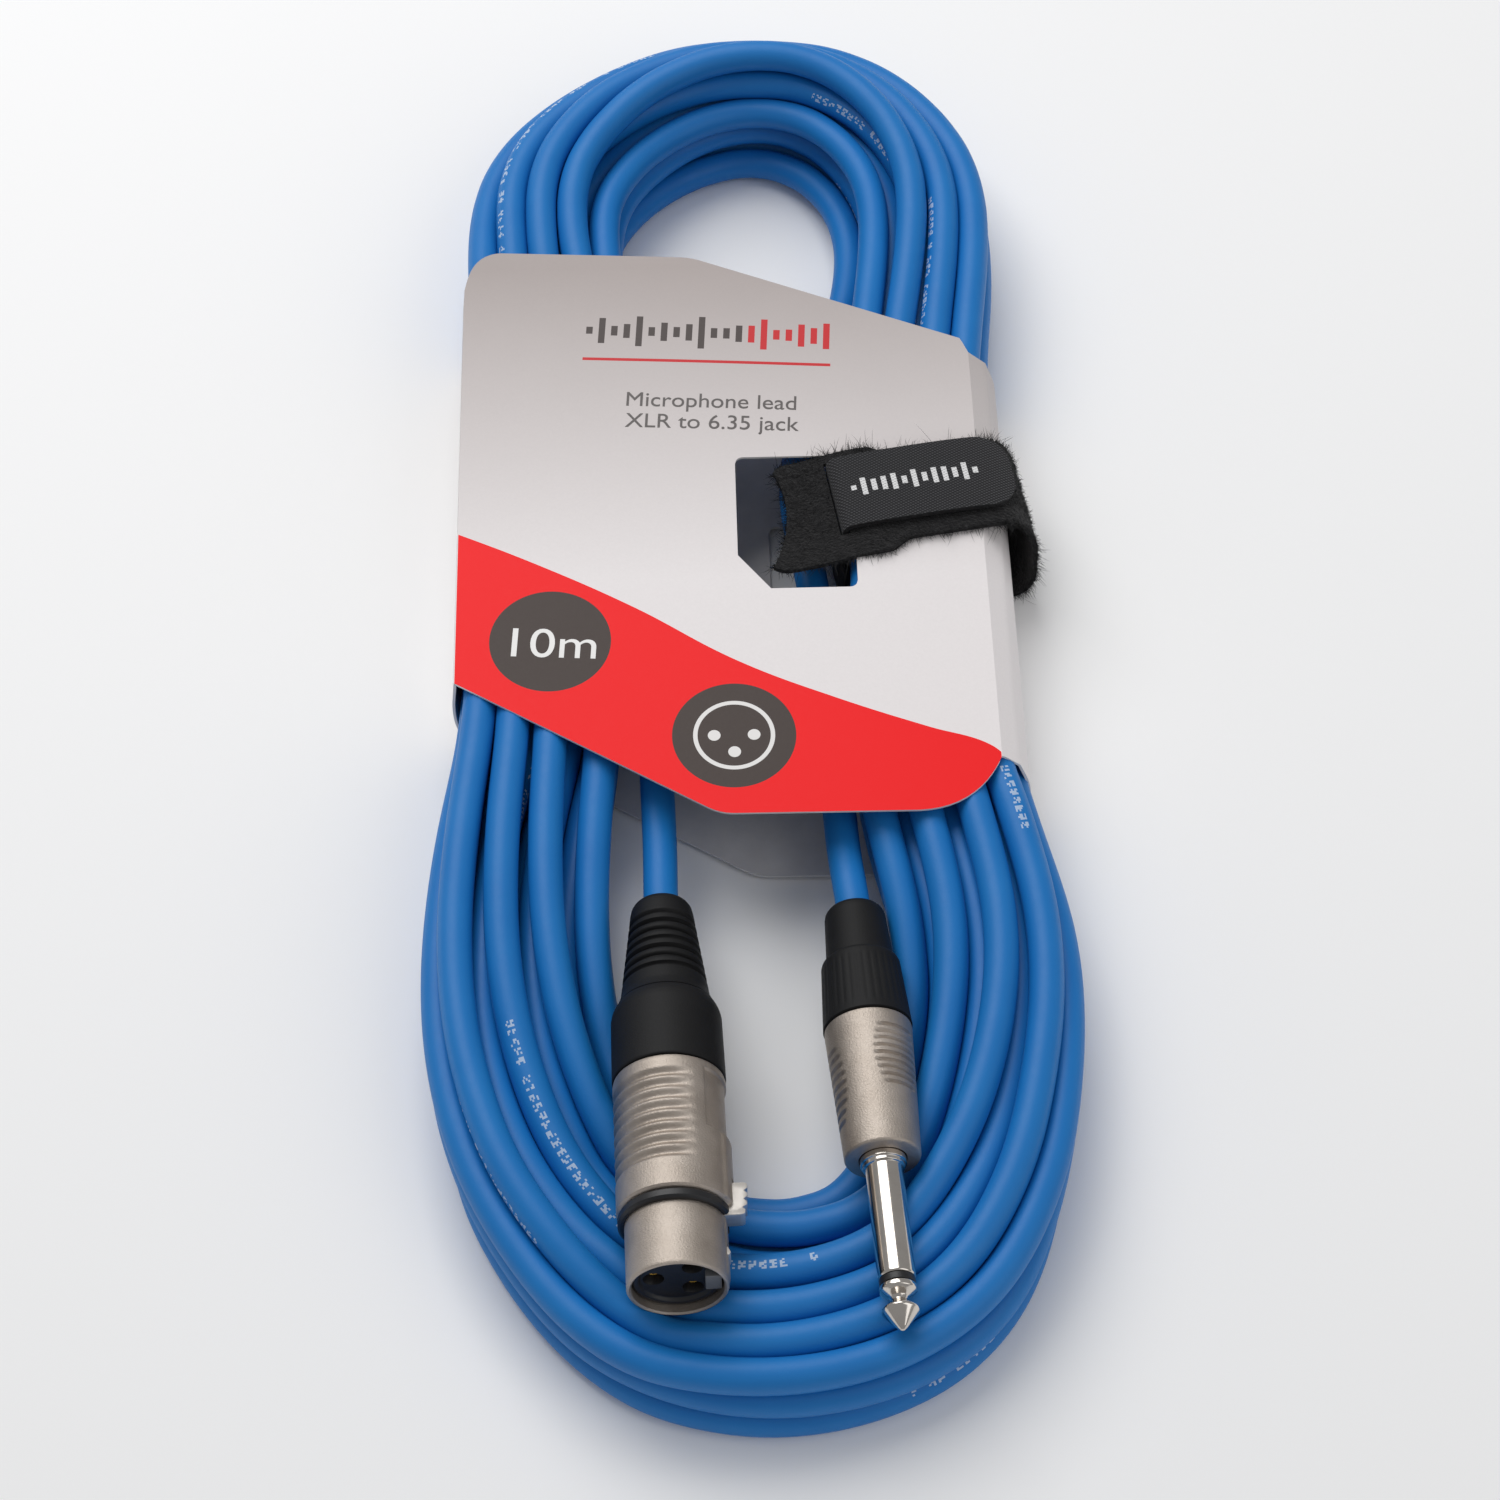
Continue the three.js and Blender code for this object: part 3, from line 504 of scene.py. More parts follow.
def eased(profile, cut=0.3, closed=True, steps=4):
    """The same profile with each corner rounded off."""
    points = np.asarray(profile, float)
    count = len(points)
    made = []
    for i, point in enumerate(points):
        if not closed and i in (0, count - 1):
            made.append(point)
            continue
        before, after = points[i - 1] - point, points[(i + 1) % count] - point
        reach = [min(cut, 0.45 * np.linalg.norm(side)) for side in (before, after)]
        start = point + before / np.linalg.norm(before) * reach[0]
        end = point + after / np.linalg.norm(after) * reach[1]
        t = np.linspace(0, 1, steps + 1)[:, None]
        made.extend((1 - t) ** 2 * start + 2 * t * (1 - t) * point + t**2 * end)
    return np.array(made)


def plate_piece(name, outline, low, high, matrix, bevel):
    """An outline drawn in a connector's x and y, as thick as low to high along its z, with eased edges."""
    made = bmesh.new()
    bottom = made.faces.new([made.verts.new((x, y, low)) for x, y in outline])
    top = bmesh.ops.extrude_face_region(made, geom=[bottom])
    raised = [item for item in top["geom"] if isinstance(item, bmesh.types.BMVert)]
    bmesh.ops.translate(made, verts=raised, vec=(0, 0, high - low))
    bmesh.ops.recalc_face_normals(made, faces=made.faces)
    bmesh.ops.bevel(made, geom=made.edges, offset=bevel, segments=2, profile=0.5, affect="EDGES")
    made.verts.ensure_lookup_table()
    points = in_frame(matrix, [v.co for v in made.verts])
    faces = [[v.index for v in face.verts] for face in made.faces]
    made.free()
    return mesh_piece(name, points, faces)


def stations(step, *marks):
    """Numbers no more than a step apart, through every mark."""
    runs = [np.linspace(a, b, max(int(math.ceil((b - a) / step)), 1) + 1) for a, b in zip(marks, marks[1:])]
    return np.unique(np.round(np.concatenate(runs), 6))


def smooth_step(value):
    value = np.clip(value, 0, 1)
    return value * value * (3 - 2 * value)


def finish_piece(piece, body, keys, replaced=None):
    """Everything that a piece needs besides its shape: keys names its materials, separated by spaces.

    A piece given no body is left unattached to any body."""
    for key in keys.split():
        piece.data.materials.append(MATERIALS[key])
    if body:
        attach(piece, body)
    if replaced:
        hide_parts(*replaced.split())
    return piece


# ---------------------------------------------------------------- material helpers

def tone(red, green, blue):
    """A screen colour from 0 to 255 as the shader's linear colour."""
    linear = [((c / 255 + 0.055) / 1.055) ** 2.4 if c > 10 else c / 3295 for c in (red, green, blue)]
    return (*linear, 1.0)


class Value:
    """A number in a material's graph. Plain arithmetic on it makes Math nodes."""

    def __init__(self, shade, socket):
        self.shade, self.socket = shade, socket

    def math(self, operation, *others):
        return self.shade.math(operation, self, *others)

    def __add__(self, other):
        return self.math("ADD", other)

    def __sub__(self, other):
        return self.math("SUBTRACT", other)

    def __mul__(self, other):
        return self.math("MULTIPLY", other)

    def __truediv__(self, other):
        return self.math("DIVIDE", other)

    def __lt__(self, other):
        return self.math("LESS_THAN", other)

    def __gt__(self, other):
        return self.math("GREATER_THAN", other)

    def __abs__(self):
        return self.math("ABSOLUTE")

    def floor(self):
        return self.math("FLOOR")

    def fract(self):
        return self.math("FRACT")

    def sine(self):
        return self.math("SINE")

    def within(self, low, high):
        return (self > low) * (self < high)

    def spread(self, low, high):
        """This value's 0 to 1 as low to high."""
        return self.shade.value("ShaderNodeMapRange", {"Value": self, "To Min": low, "To Max": high})


class Shade:
    """A material's node graph, written as plain expressions."""

    def __init__(self, name, **sockets):
        self.material = bpy.data.materials.new(name)
        self.material.use_nodes = True
        self.tree = self.material.node_tree
        self.shader = self.tree.nodes["Principled BSDF"]
        for key, value in sockets.items():
            self.feed(self.shader.inputs[key.replace("_", " ")], value)

    def feed(self, socket, value):
        value = value.socket if isinstance(value, Value) else value
        if isinstance(value, bpy.types.NodeSocket):
            self.tree.links.new(value, socket)
        else:
            socket.default_value = value

    def node(self, kind, inputs, **settings):
        made = self.tree.nodes.new(kind)
        for key, value in settings.items():
            setattr(made, key, value)
        for key, value in inputs.items():
            self.feed(made.inputs[key], value)
        return made

    def value(self, kind, inputs, output=0, **settings):
        return Value(self, self.node(kind, inputs, **settings).outputs[output])

    def math(self, operation, *values):
        return self.value("ShaderNodeMath", dict(enumerate(values)), operation=operation)

    def mix(self, factor, first, second):
        inputs = {0: factor, 6: first, 7: second}
        return self.node("ShaderNodeMix", inputs, data_type="RGBA").outputs[2]

    def flat_place(self):
        """The two coordinates of the piece's unrolled surface."""
        uv = self.node("ShaderNodeTexCoord", {}).outputs["UV"]
        parts = self.node("ShaderNodeSeparateXYZ", {0: uv})
        return Value(self, parts.outputs[0]), Value(self, parts.outputs[1])

    def noise(self, size_mm, detail=3.0, stretch=None):
        """Noise from 0 to 1 whose blotches are about this many millimetres across."""
        vector = self.node("ShaderNodeTexCoord", {}).outputs["Object"]
        if stretch:
            inputs = {0: vector, 1: stretch}
            vector = self.node("ShaderNodeVectorMath", inputs, operation="MULTIPLY").outputs[0]
        inputs = {"Vector": vector, "Scale": 1 / (size_mm * MM), "Detail": detail, "Roughness": 0.6}
        return self.value("ShaderNodeTexNoise", inputs)

    def dice(self, dimensions, **inputs):
        """A random number from 0 to 1 for each whole place."""
        return self.value("ShaderNodeTexWhiteNoise", inputs, "Value", noise_dimensions=dimensions)

    def any_of(self, *masks):
        result = masks[0]
        for mask in masks[1:]:
            result = self.math("MAXIMUM", result, mask)
        return result

    def finish(self, colour, roughness, height, depth_mm, strength=1.0):
        """Feed the shader's colour, gloss and bump. The roughness is left alone where it is None."""
        self.feed(self.shader.inputs["Base Color"], colour)
        if roughness:
            self.feed(self.shader.inputs["Roughness"], roughness)
        inputs = {"Height": height, "Distance": depth_mm * MM, "Strength": strength}
        self.feed(self.shader.inputs["Normal"], self.node("ShaderNodeBump", inputs).outputs[0])
        return self.material


def grained(name, dark, light, rough, grain_mm, depth_mm, blotch_mm=6, stretch=None, **sockets):
    """A material with a slow drift of colour, and a fine grain in its gloss and its surface."""
    shade = Shade(name, **sockets)
    grain = shade.noise(grain_mm, 4, stretch)
    blotch = shade.noise(blotch_mm, 3)
    colour = shade.mix(blotch.spread(-0.3, 1.3), tone(*dark), tone(*light))
    return shade.finish(colour, (grain * 0.6 + blotch * 0.4).spread(*rough), grain, depth_mm)


def bar_row(number, above, base, swing, wave, edges, count):
    """A row of upright bars, one to each whole number, of waving heights."""
    bar = number.floor()
    swell = abs((bar * wave[0]).sine())
    if len(wave) > 1:
        swell = swell * abs((bar * wave[1]).math("COSINE"))
    tall = abs(above) < bar.shade.math("ADD", base, swell * swing)
    return tall * number.fract().within(*edges) * bar.within(-0.5, count - 0.5), bar


# ---------------------------------------------------------------- materials

# The jacket's print: a mark's width in millimetres, half its height in turns round the cable, how far from
# one group of marks to the next, and how much of that a group fills.
PRINT_PITCH = 1.75
PRINT_HALF = 0.04
PRINT_REPEAT = 240
PRINT_SHARE = 0.34
PRINT_STRENGTH = 0.6


def cable_material():
    """Satin blue jacket with a line of small white marks along it, in groups, on its own side."""
    shade = Shade("cable_jacket", Specular_IOR_Level=0.35)
    along, around = shade.flat_place()
    along = along * (1 / MM)
    place = along / PRINT_PITCH
    cell = place.floor()
    in_cell = (place - cell) * 4.2
    across = around.fract() - (0.5 - PRINT_HALF)
    row = (across * (2.5 / PRINT_HALF)).floor()
    spot = shade.node("ShaderNodeCombineXYZ", {0: cell, 1: in_cell.floor(), 2: row}).outputs[0]
    strokes = across.within(0, 2 * PRINT_HALF) * (shade.dice("3D", Vector=spot) > 0.42)
    strokes = strokes * (in_cell < 3) * (shade.dice("1D", W=cell) > 0.16)
    strokes = strokes * ((along / PRINT_REPEAT).fract() < PRINT_SHARE)
    blue = shade.mix(shade.noise(14, 3), tone(18, 112, 188), tone(27, 124, 198))
    colour = shade.mix(strokes * PRINT_STRENGTH, blue, tone(215, 228, 240))
    roughness = shade.noise(1.6, 4).spread(0.42, 0.56)
    return shade.finish(colour, roughness, shade.noise(0.5, 4) + shade.noise(5, 2), 0.05, 0.5)


# The print on the front panel, in the drawing's x and y.
RED_EDGE = [(-54, 16.9), (-38.8, 9.3), (-21, -0.8), (-1, -14), (16.3, -22.4), (32.6, -29.1), (42.7, -32.8),
            (46, -35.8)]
RED_EDGE_X, RED_EDGE_Y = (-54, 100), (-40, 60)
LENGTH_DISC = (-36.0, -8.3)
PLUG_DISC = (-2.7, -29.9)
DISC_R = 11.2
PLUG_RING = (6.6, 7.4)
PIN_CIRCLE, PIN_R = 3.6, 1.15
MARK_MIDDLE = (-5.5, 64.5)
PRINT_TILT = math.radians(-3.5)
MARK_BARS = 20
MARK_PITCH = 2.45
MARK_GREY_BARS = 12.5
PRINT_RED = (206, 52, 56)


def red_band(shade, x, y):
    """One below the red band's wavy upper edge, on the front panel."""
    (left, width), (low, height) = RED_EDGE_X, RED_EDGE_Y
    edge = shade.node("ShaderNodeFloatCurve", {"Value": (x - left) / width})
    curve = edge.mapping.curves[0]
    stops = [((px - left) / width, (py - low) / height) for px, py in RED_EDGE]
    curve.points[0].location, curve.points[1].location = stops[0], stops[-1]
    for stop in stops[1:-1]:
        curve.points.new(*stop)
    edge.mapping.update()
    edge_y = Value(shade, edge.outputs[0]) * height + low
    return (y < edge_y) * x.within(-53.4, 45.2)


def card_material():
    """Silver card, darker towards its far end, with a red band, two discs, a row of bars and a rule."""
    shade = Shade("card_print", Specular_IOR_Level=0.2)
    x, y = (side * (1 / MM) for side in shade.flat_place())

    def disc_distance(centre, shift=(0, 0)):
        dx, dy = x - (centre[0] + shift[0]), y - (centre[1] + shift[1])
        return (dx.math("POWER", 2.0) + dy.math("POWER", 2.0)).math("SQRT")

    discs = [disc_distance(centre) < DISC_R for centre in (LENGTH_DISC, PLUG_DISC)]
    turns = [math.radians(angle) for angle in (0, 180, 270)]
    pins = [(PIN_CIRCLE * math.cos(turn), PIN_CIRCLE * math.sin(turn)) for turn in turns]
    dots = [disc_distance(PLUG_DISC, pin) < PIN_R for pin in pins]

    dx, dy = x - MARK_MIDDLE[0], y - MARK_MIDDLE[1]
    cos, sin = math.cos(PRINT_TILT), math.sin(PRINT_TILT)
    across, above = dx * cos + dy * sin, dy * cos - dx * sin
    number = (across + MARK_BARS * MARK_PITCH / 2) / MARK_PITCH
    bars, bar = bar_row(number, above, 0.9, 3.2, (1.9, 0.7), (0.24, 0.76), MARK_BARS)
    rule = above.within(-7.6, -6.9) * across.within(-24.2, 24.2)

    fleck, cloud = shade.noise(0.45, 4), shade.noise(22, 3)
    height = shade.value("ShaderNodeMapRange", {"Value": y, "From Min": 5.0, "From Max": 82.0})
    silver = shade.mix(height, tone(242, 237, 237), tone(176, 166, 163))
    silver = shade.mix(fleck * 0.10, silver, tone(126, 120, 118))
    silver = shade.mix(cloud * 0.06, silver, tone(250, 240, 236))
    colour = shade.mix(red_band(shade, x, y), silver, tone(252, 16, 22))
    colour = shade.mix(shade.any_of(*discs), colour, tone(74, 64, 60))
    ring = disc_distance(PLUG_DISC).within(*PLUG_RING)
    colour = shade.mix(shade.any_of(ring, *dots), colour, tone(238, 236, 234))
    ink = shade.mix(bar > MARK_GREY_BARS, tone(84, 76, 74), tone(*PRINT_RED))
    colour = shade.mix(rule, shade.mix(bars, colour, ink), tone(*PRINT_RED))
    return shade.finish(colour, fleck.spread(0.36, 0.52), fleck + cloud, 0.03, 0.4)


def loop_material():
    """Matt black pile in small tufts."""
    shade = Shade("loop_fabric", Roughness=1.0, Sheen_Weight=0.12, Sheen_Roughness=0.6,
                  Specular_IOR_Level=0.1)
    pile, tuft = shade.noise(0.5, 6), shade.noise(1.8, 4)
    return shade.finish(shade.mix(pile * tuft, tone(9, 9, 10), tone(54, 53, 55)), None, pile + tuft, 0.7)


TAB_BARS = 13
TAB_PITCH = 1.95


def hook_material():
    """Woven back of a hook tape, with a row of printed bars."""
    shade = Shade("hook_fabric", Sheen_Weight=0.1, Specular_IOR_Level=0.2)
    x, y = (side * (1 / MM) for side in shade.flat_place())
    rib = ((x + y * 0.8) * 9.5).sine()
    weft = ((y - x * 0.35) * 11.0).sine()
    thread = shade.noise(0.45, 5)
    lift = ((rib + 1) * (weft + 1) + thread) * 0.25
    cloth = shade.mix(lift, tone(18, 18, 20), tone(80, 80, 83))
    bars, _ = bar_row((x - 4.4) / TAB_PITCH, y - 0.3, 0.55, 1.5, (1.3,), (0.22, 0.74), TAB_BARS)
    return shade.finish(shade.mix(bars, cloth, tone(236, 236, 236)), thread.spread(0.6, 0.85), lift, 0.22)


# Each grained material: name, darker and lighter tone, roughness from and to, grain and bump in millimetres.
GRAINED = {
    "card_inside": ("card_inside", (206, 203, 203), (222, 219, 218), (0.6, 0.8), 0.5, 0.03),
    "card_core": ("card_core", (225, 222, 220), (240, 238, 236), (0.8, 0.95), 0.2, 0.06),
    "ink_grey": ("ink_grey", (84, 78, 76), (92, 86, 84), (0.4, 0.6), 0.4, 0.01),
    "ink_white": ("ink_white", (236, 235, 233), (246, 245, 243), (0.4, 0.6), 0.4, 0.01),
    "fibre": ("loop_fibre", (8, 8, 9), (30, 30, 32), (0.7, 0.9), 0.8, 0.01),
    "hook_face": ("hook_face", (12, 12, 13), (44, 44, 46), (0.45, 0.7), 0.7, 0.5),
    "satin_nickel": ("satin_nickel", (170, 159, 148), (198, 188, 178), (0.44, 0.62), 0.3, 0.1),
    "latch_nickel": ("latch_nickel", (205, 199, 192), (226, 221, 214), (0.3, 0.5), 0.3, 0.02),
    "bright_nickel": ("bright_nickel", (200, 192, 184), (222, 216, 208), (0.07, 0.2), 0.6, 0.006),
    "rubber": ("boot_rubber", (13, 13, 14), (22, 22, 23), (0.52, 0.7), 0.3, 0.05),
    "black_plastic": ("black_plastic", (20, 20, 22), (30, 30, 33), (0.35, 0.5), 0.4, 0.03),
    "grey_plastic": ("grey_plastic", (96, 98, 101), (116, 118, 121), (0.4, 0.55), 0.5, 0.03),
    "gold": ("contact_gold", (196, 152, 60), (216, 174, 84), (0.2, 0.35), 0.3, 0.01),
    "steel": ("spring_steel", (150, 150, 148), (180, 180, 178), (0.2, 0.4), 0.4, 0.01),
    "lead_red": ("lead_red", (160, 32, 28), (180, 40, 34), (0.4, 0.55), 0.5, 0.02),
    "lead_white": ("lead_white", (206, 204, 196), (224, 220, 212), (0.4, 0.55), 0.5, 0.02),
    "lead_copper": ("lead_copper", (170, 90, 52), (200, 116, 72), (0.3, 0.45), 0.25, 0.06),
}
SPECIAL = {
    "hook_face": {"blotch_mm": 1.2},
    "satin_nickel": {"Metallic": 1.0},
    "latch_nickel": {"Metallic": 0.85},
    "bright_nickel": {"stretch": (1, 0.08, 1), "Metallic": 1.0},
    "rubber": {"Specular_IOR_Level": 0.28},
    "gold": {"Metallic": 1.0},
    "steel": {"stretch": (0.1, 1, 1), "Metallic": 1.0},
    "lead_copper": {"stretch": (1, 0.2, 1), "Metallic": 1.0},
}
MATERIALS = {"cable": cable_material(), "card": card_material(), "loop": loop_material(),
             "hook": hook_material()}
MATERIALS.update({key: grained(*values, **SPECIAL.get(key, {})) for key, values in GRAINED.items()})

# ---------------------------------------------------------------- cable

TUBE_SIDES = 16
CABLE_RINGS = 6100
# The jacket's print wanders round the cable as the cable was twisted when it was coiled.
PRINT_WANDER = ((0.31, 2.3), (0.17, 0.83))


def tube_frames(path):
    """Two sideways directions at each point of a path, carried along without twist."""
    tangent = unit(np.gradient(path, axis=0))
    side = np.cross(tangent[0], (0, 0, 1.0))
    sides = []
    for direction in tangent:
        side = side - direction * side.dot(direction)
        side /= np.linalg.norm(side)
        sides.append(side)
    sides = np.array(sides)
    return sides, np.cross(tangent, sides)


def tube_piece(name, path, radius):
    """A round tube with flat ends; its flat place is metres along and turns around."""
    sides, ups = (side[:, None, :] for side in tube_frames(path))
    angle = (np.arange(TUBE_SIDES) * 2 * math.pi / TUBE_SIDES)[None, :, None]
    layer = path[:, None, :] + (np.cos(angle) * sides + np.sin(angle) * ups) * radius
    along = lengths_along(path)
    wander = sum(share * np.sin(2 * math.pi * along / length) for share, length in PRINT_WANDER)
    around = 4 + wander[:, None] + np.arange(TUBE_SIDES + 1)[None, :] / TUBE_SIDES
    uv = np.stack([np.repeat(along[:, None], TUBE_SIDES + 1, 1), around], -1)
    r, c = (i.ravel() for i in np.meshgrid(np.arange(len(path) - 1), np.arange(TUBE_SIDES), indexing="ij"))
    corners = [np.stack([r + dr, c + dc], -1) for dr, dc in ((0, 0), (0, 1), (1, 1), (1, 0))]
    corners = np.stack(corners, 1)
    faces = (corners[..., 0] * TUBE_SIDES + corners[..., 1] % TUBE_SIDES).tolist()
    ring = np.arange(TUBE_SIDES)
    caps = [ring[::-1].tolist(), (ring + (len(path) - 1) * TUBE_SIDES).tolist()]
    uvs = np.vstack([uv[corners[..., 0], corners[..., 1]].reshape(-1, 2), np.zeros((2 * TUBE_SIDES, 2))])
    return mesh_piece(name, layer.reshape(-1, 3), faces + caps, uvs, sharp=60)


def make_cable():
    nodes = settled(wound_path(), ROUNDS)
    nodes = smoothed(nodes, 1.2)
    line = placed(spline(nodes, np.linspace(0, len(nodes) - 1, CABLE_RINGS)))
    cable = tube_piece("cable", line, CABLE_R * MM)
    finish_piece(cable, "lead", "cable", "cable_coil xlr_tail jack_tail")
    return cable, line


cable, CABLE_PATH = make_cable()

# ---------------------------------------------------------------- card sleeve

# The die-cut outline of the front panel as y against x, with its round corners as curves.
WINDOW_LEFT, WINDOW_RIGHT, WINDOW_BOTTOM, WINDOW_TOP = -1.0, 21.2, 2.4, 33.4
WINDOW_CHAMFER = (6.0, 7.8)
WINDOW_CORNER = 1.5
# Rows of cells before, beside and past the window.
SLEEVE_ROWS = (14, 12, 14)
FLAT = 1e-3


def bend_points(start, control, end, count=12):
    """Points along a curve from start to end that bends towards control."""
    t = np.linspace(0, 1, count)[:, None]
    start, control, end = (np.array(point, float) for point in (start, control, end))
    return (1 - t) ** 2 * start + 2 * t * (1 - t) * control + t**2 * end


NEAR_EDGE = np.vstack([[(-53.6, -17.1)], bend_points((-7.6, -45.2), (-5.6, -46.4), (-3.2, -46.45), 5),
                       bend_points((29.9, -46.7), (40.5, -46.4), (45.4, -35.5))])
FAR_EDGE = np.vstack([bend_points((-53.4, 77), (-52.6, 86.3), (-46.6, CARD_FAR_Y)),
                      bend_points((-10.6, 84.4), (-8.6, 84.3), (-6.8, 83.5), 5), [(43.9, 62), (45.3, 58.4)]])


def sleeve_columns():
    """The sleeve's outer section, unrolled from the front panel's left fold: x and z of each column."""
    window = [WINDOW_LEFT, WINDOW_LEFT + WINDOW_CORNER, WINDOW_LEFT + WINDOW_CHAMFER[0],
              WINDOW_RIGHT - WINDOW_CORNER, WINDOW_RIGHT]
    front = np.concatenate([stations(0.4, CARD_FRONT_X[0], -46), stations(1.2, -46, *window, 29.9),
                            stations(0.5, 29.9, CARD_FRONT_X[1]), stations(0.25, *window[:2]),
                            stations(0.25, *window[3:])])
    front = np.unique(np.round(front, 4))
    front = np.stack([front, np.full_like(front, CARD_FRONT_Z)], 1)
    crease = np.linspace((CARD_FRONT_X[1], CARD_FRONT_Z), CARD_RIGHT_WALL[0], 6)
    right = spline(CARD_RIGHT_WALL + [(CARD_BACK_X[1], CARD_BACK_Z)], np.linspace(0, 4, 24))
    shift = CARD_LEAN * (CARD_FRONT_Z - CARD_BACK_Z)
    marks = [CARD_BACK_X[0] - shift, *window, CARD_BACK_X[1] - shift]
    back = np.concatenate([stations(1.5, *marks), stations(0.3, *window[:2]), stations(0.3, *window[3:])])
    back = np.unique(np.round(back, 4))[::-1] + shift
    back = np.stack([back, np.full_like(back, CARD_BACK_Z)], 1)
    left = [(CARD_BACK_X[0], CARD_BACK_Z)] + CARD_LEFT_WALL + [(CARD_FRONT_X[0], CARD_FRONT_Z)]
    left = spline(left, np.linspace(0, 4, 24))
    return np.vstack([front, crease[1:], right[1:], back[1:], left[1:-1]])


def window_edges(x):
    """The y of the window's lower and upper edge at a column, rounded into its corners."""
    chamfer = WINDOW_CHAMFER[1] * np.clip(1 - (x - WINDOW_LEFT) / WINDOW_CHAMFER[0], 0, 1)
    r = WINDOW_CORNER
    to_right = np.clip(x - (WINDOW_RIGHT - r), 0, r)
    to_left = np.clip(WINDOW_LEFT + r - x, 0, r)
    low = WINDOW_BOTTOM + chamfer + (r - np.sqrt(r * r - to_right**2))
    high = WINDOW_TOP - (r - np.sqrt(r * r - to_left**2))
    return low, high


def card_wave(x, y):
    """How far the front panel stands proud of flat: a hair, where nothing presses on it."""
    across = np.sin(np.clip((x - CARD_FRONT_X[0]) / (CARD_FRONT_X[1] - CARD_FRONT_X[0]), 0, 1) * math.pi)
    return across * (0.14 + 0.1 * np.sin(x / 17 + y / 29) + 0.04 * np.sin(y / 8))


def make_sleeve():
    """The sleeve as a wall between its outer and inner faces, with a window in each panel."""
    section = sleeve_columns()
    x, z = section.T
    front_x = x - CARD_LEAN * (CARD_FRONT_Z - z)
    near = np.interp(front_x, *NEAR_EDGE.T)
    far = np.interp(front_x, *FAR_EDGE.T)
    low, high = window_edges(front_x)
    bands = [np.linspace(0, 1, count + 1)[:, None] for count in SLEEVE_ROWS]
    y = np.vstack([near + (low - near) * bands[0], low + (high - low) * bands[1][1:],
                   high + (far - high) * bands[2][1:]])
    tangent = unit(np.roll(section, -1, axis=0) - np.roll(section, 1, axis=0))
    inward = np.stack([tangent[:, 1], -tangent[:, 0]], 1)
    rows = len(y)
    on_front = np.abs(z - CARD_FRONT_Z) < FLAT
    lift = np.where(on_front, card_wave(x, y), 0)
    spread = [np.repeat(column[None], rows, 0) for column in (x, z, *inward.T)]
    outer = np.stack([spread[0], y, spread[1] + lift], -1)
    inner = np.stack([spread[0] + spread[2] * CARD_T, y, spread[1] + spread[3] * CARD_T + lift], -1)
    middle_x = (front_x + np.roll(front_x, -1)) / 2
    flat = np.abs(z - np.roll(z, -1)) < FLAT
    open_column = flat & (middle_x > WINDOW_LEFT) & (middle_x < WINDOW_RIGHT)
    keep = np.ones((rows - 1, len(x)), bool)
    keep[SLEEVE_ROWS[0]:sum(SLEEVE_ROWS[:2]), open_column] = False
    unrolled = CARD_FRONT_X[0] + lengths_along(np.vstack([section, section[:1]]))
    closing = np.concatenate([y, y[:, :1]], 1)
    uv = np.stack([np.repeat(unrolled[None], rows, 0), closing], -1) * MM
    sleeve = sheet_piece("card_sleeve_print", placed(outer), placed(inner), keep, wrap=True, uv=uv, sharp=28)
    finish_piece(sleeve, "lead", "card card_inside card_core", "card_sleeve")


INK_LIFT, INK_HALF = 0.03, 0.02


def print_words(name, words, middle, size, key, stretch=1.0):
    """Words in a thin layer of ink on the front panel."""
    curve = bpy.data.curves.new(name, "FONT")
    curve.body = words
    curve.size = size
    curve.align_x = "CENTER"
    curve.align_y = "CENTER"
    curve.extrude = INK_HALF
    curve.resolution_u = 6
    holder = bpy.data.objects.new(name, curve)
    bpy.context.collection.objects.link(holder)
    bpy.context.view_layer.update()
    drawn = bpy.data.meshes.new_from_object(holder.evaluated_get(bpy.context.evaluated_depsgraph_get()))
    bpy.data.objects.remove(holder)
    flat = np.array([v.co for v in drawn.vertices])
    faces = [list(face.vertices) for face in drawn.polygons]
    bpy.data.meshes.remove(drawn)
    cos, sin = math.cos(PRINT_TILT), math.sin(PRINT_TILT)
    x = flat[:, 0] * stretch * cos - flat[:, 1] * sin + middle[0]
    y = flat[:, 0] * stretch * sin + flat[:, 1] * cos + middle[1]
    z = CARD_FRONT_Z + card_wave(x, y) + INK_LIFT + flat[:, 2]
    piece = mesh_piece(name, placed(np.stack([x, y, z], 1)), faces, sharp=30)
    finish_piece(piece, "lead", key)


make_sleeve()
print_words("print_length", "10m", (-36.0, -9.2), 9.2, "ink_white", stretch=1.12)
print_words("print_line_1", "Microphone lead", (-5.2, 47.2), 4.9, "ink_grey")
print_words("print_line_2", "XLR to 6.35 jack", (-5.2, 42.0), 4.9, "ink_grey")

# ---------------------------------------------------------------- strap: loop band

BAND_T = 1.0
BAND_HALF = 10.0
HEAD_HALF = 12.3
BAND_TOP = 25.3
BAND_MIDDLE = BAND_TOP - BAND_T / 2
SLOT_X = -13.8
SLOT_Y = (-6.9, 10.3)
HEAD_END = -24.4
HEAD_NOTCH = 2.6
HEAD_SKEW = 4.0
HEAD_SAG = 2.0
ROWS_BEFORE_RISER = 90
TAB_T = 1.1
TAB_HALF = 8.2
TAB_SHIFT = 1.7
TAB_END = 20.0
TAB_CORNER = 6.0


def head_height(x):
    """The head's middle height: it sags where the window leaves it unsupported."""
    return BAND_MIDDLE - HEAD_SAG * smooth_step((-8.5 - x) / 14)


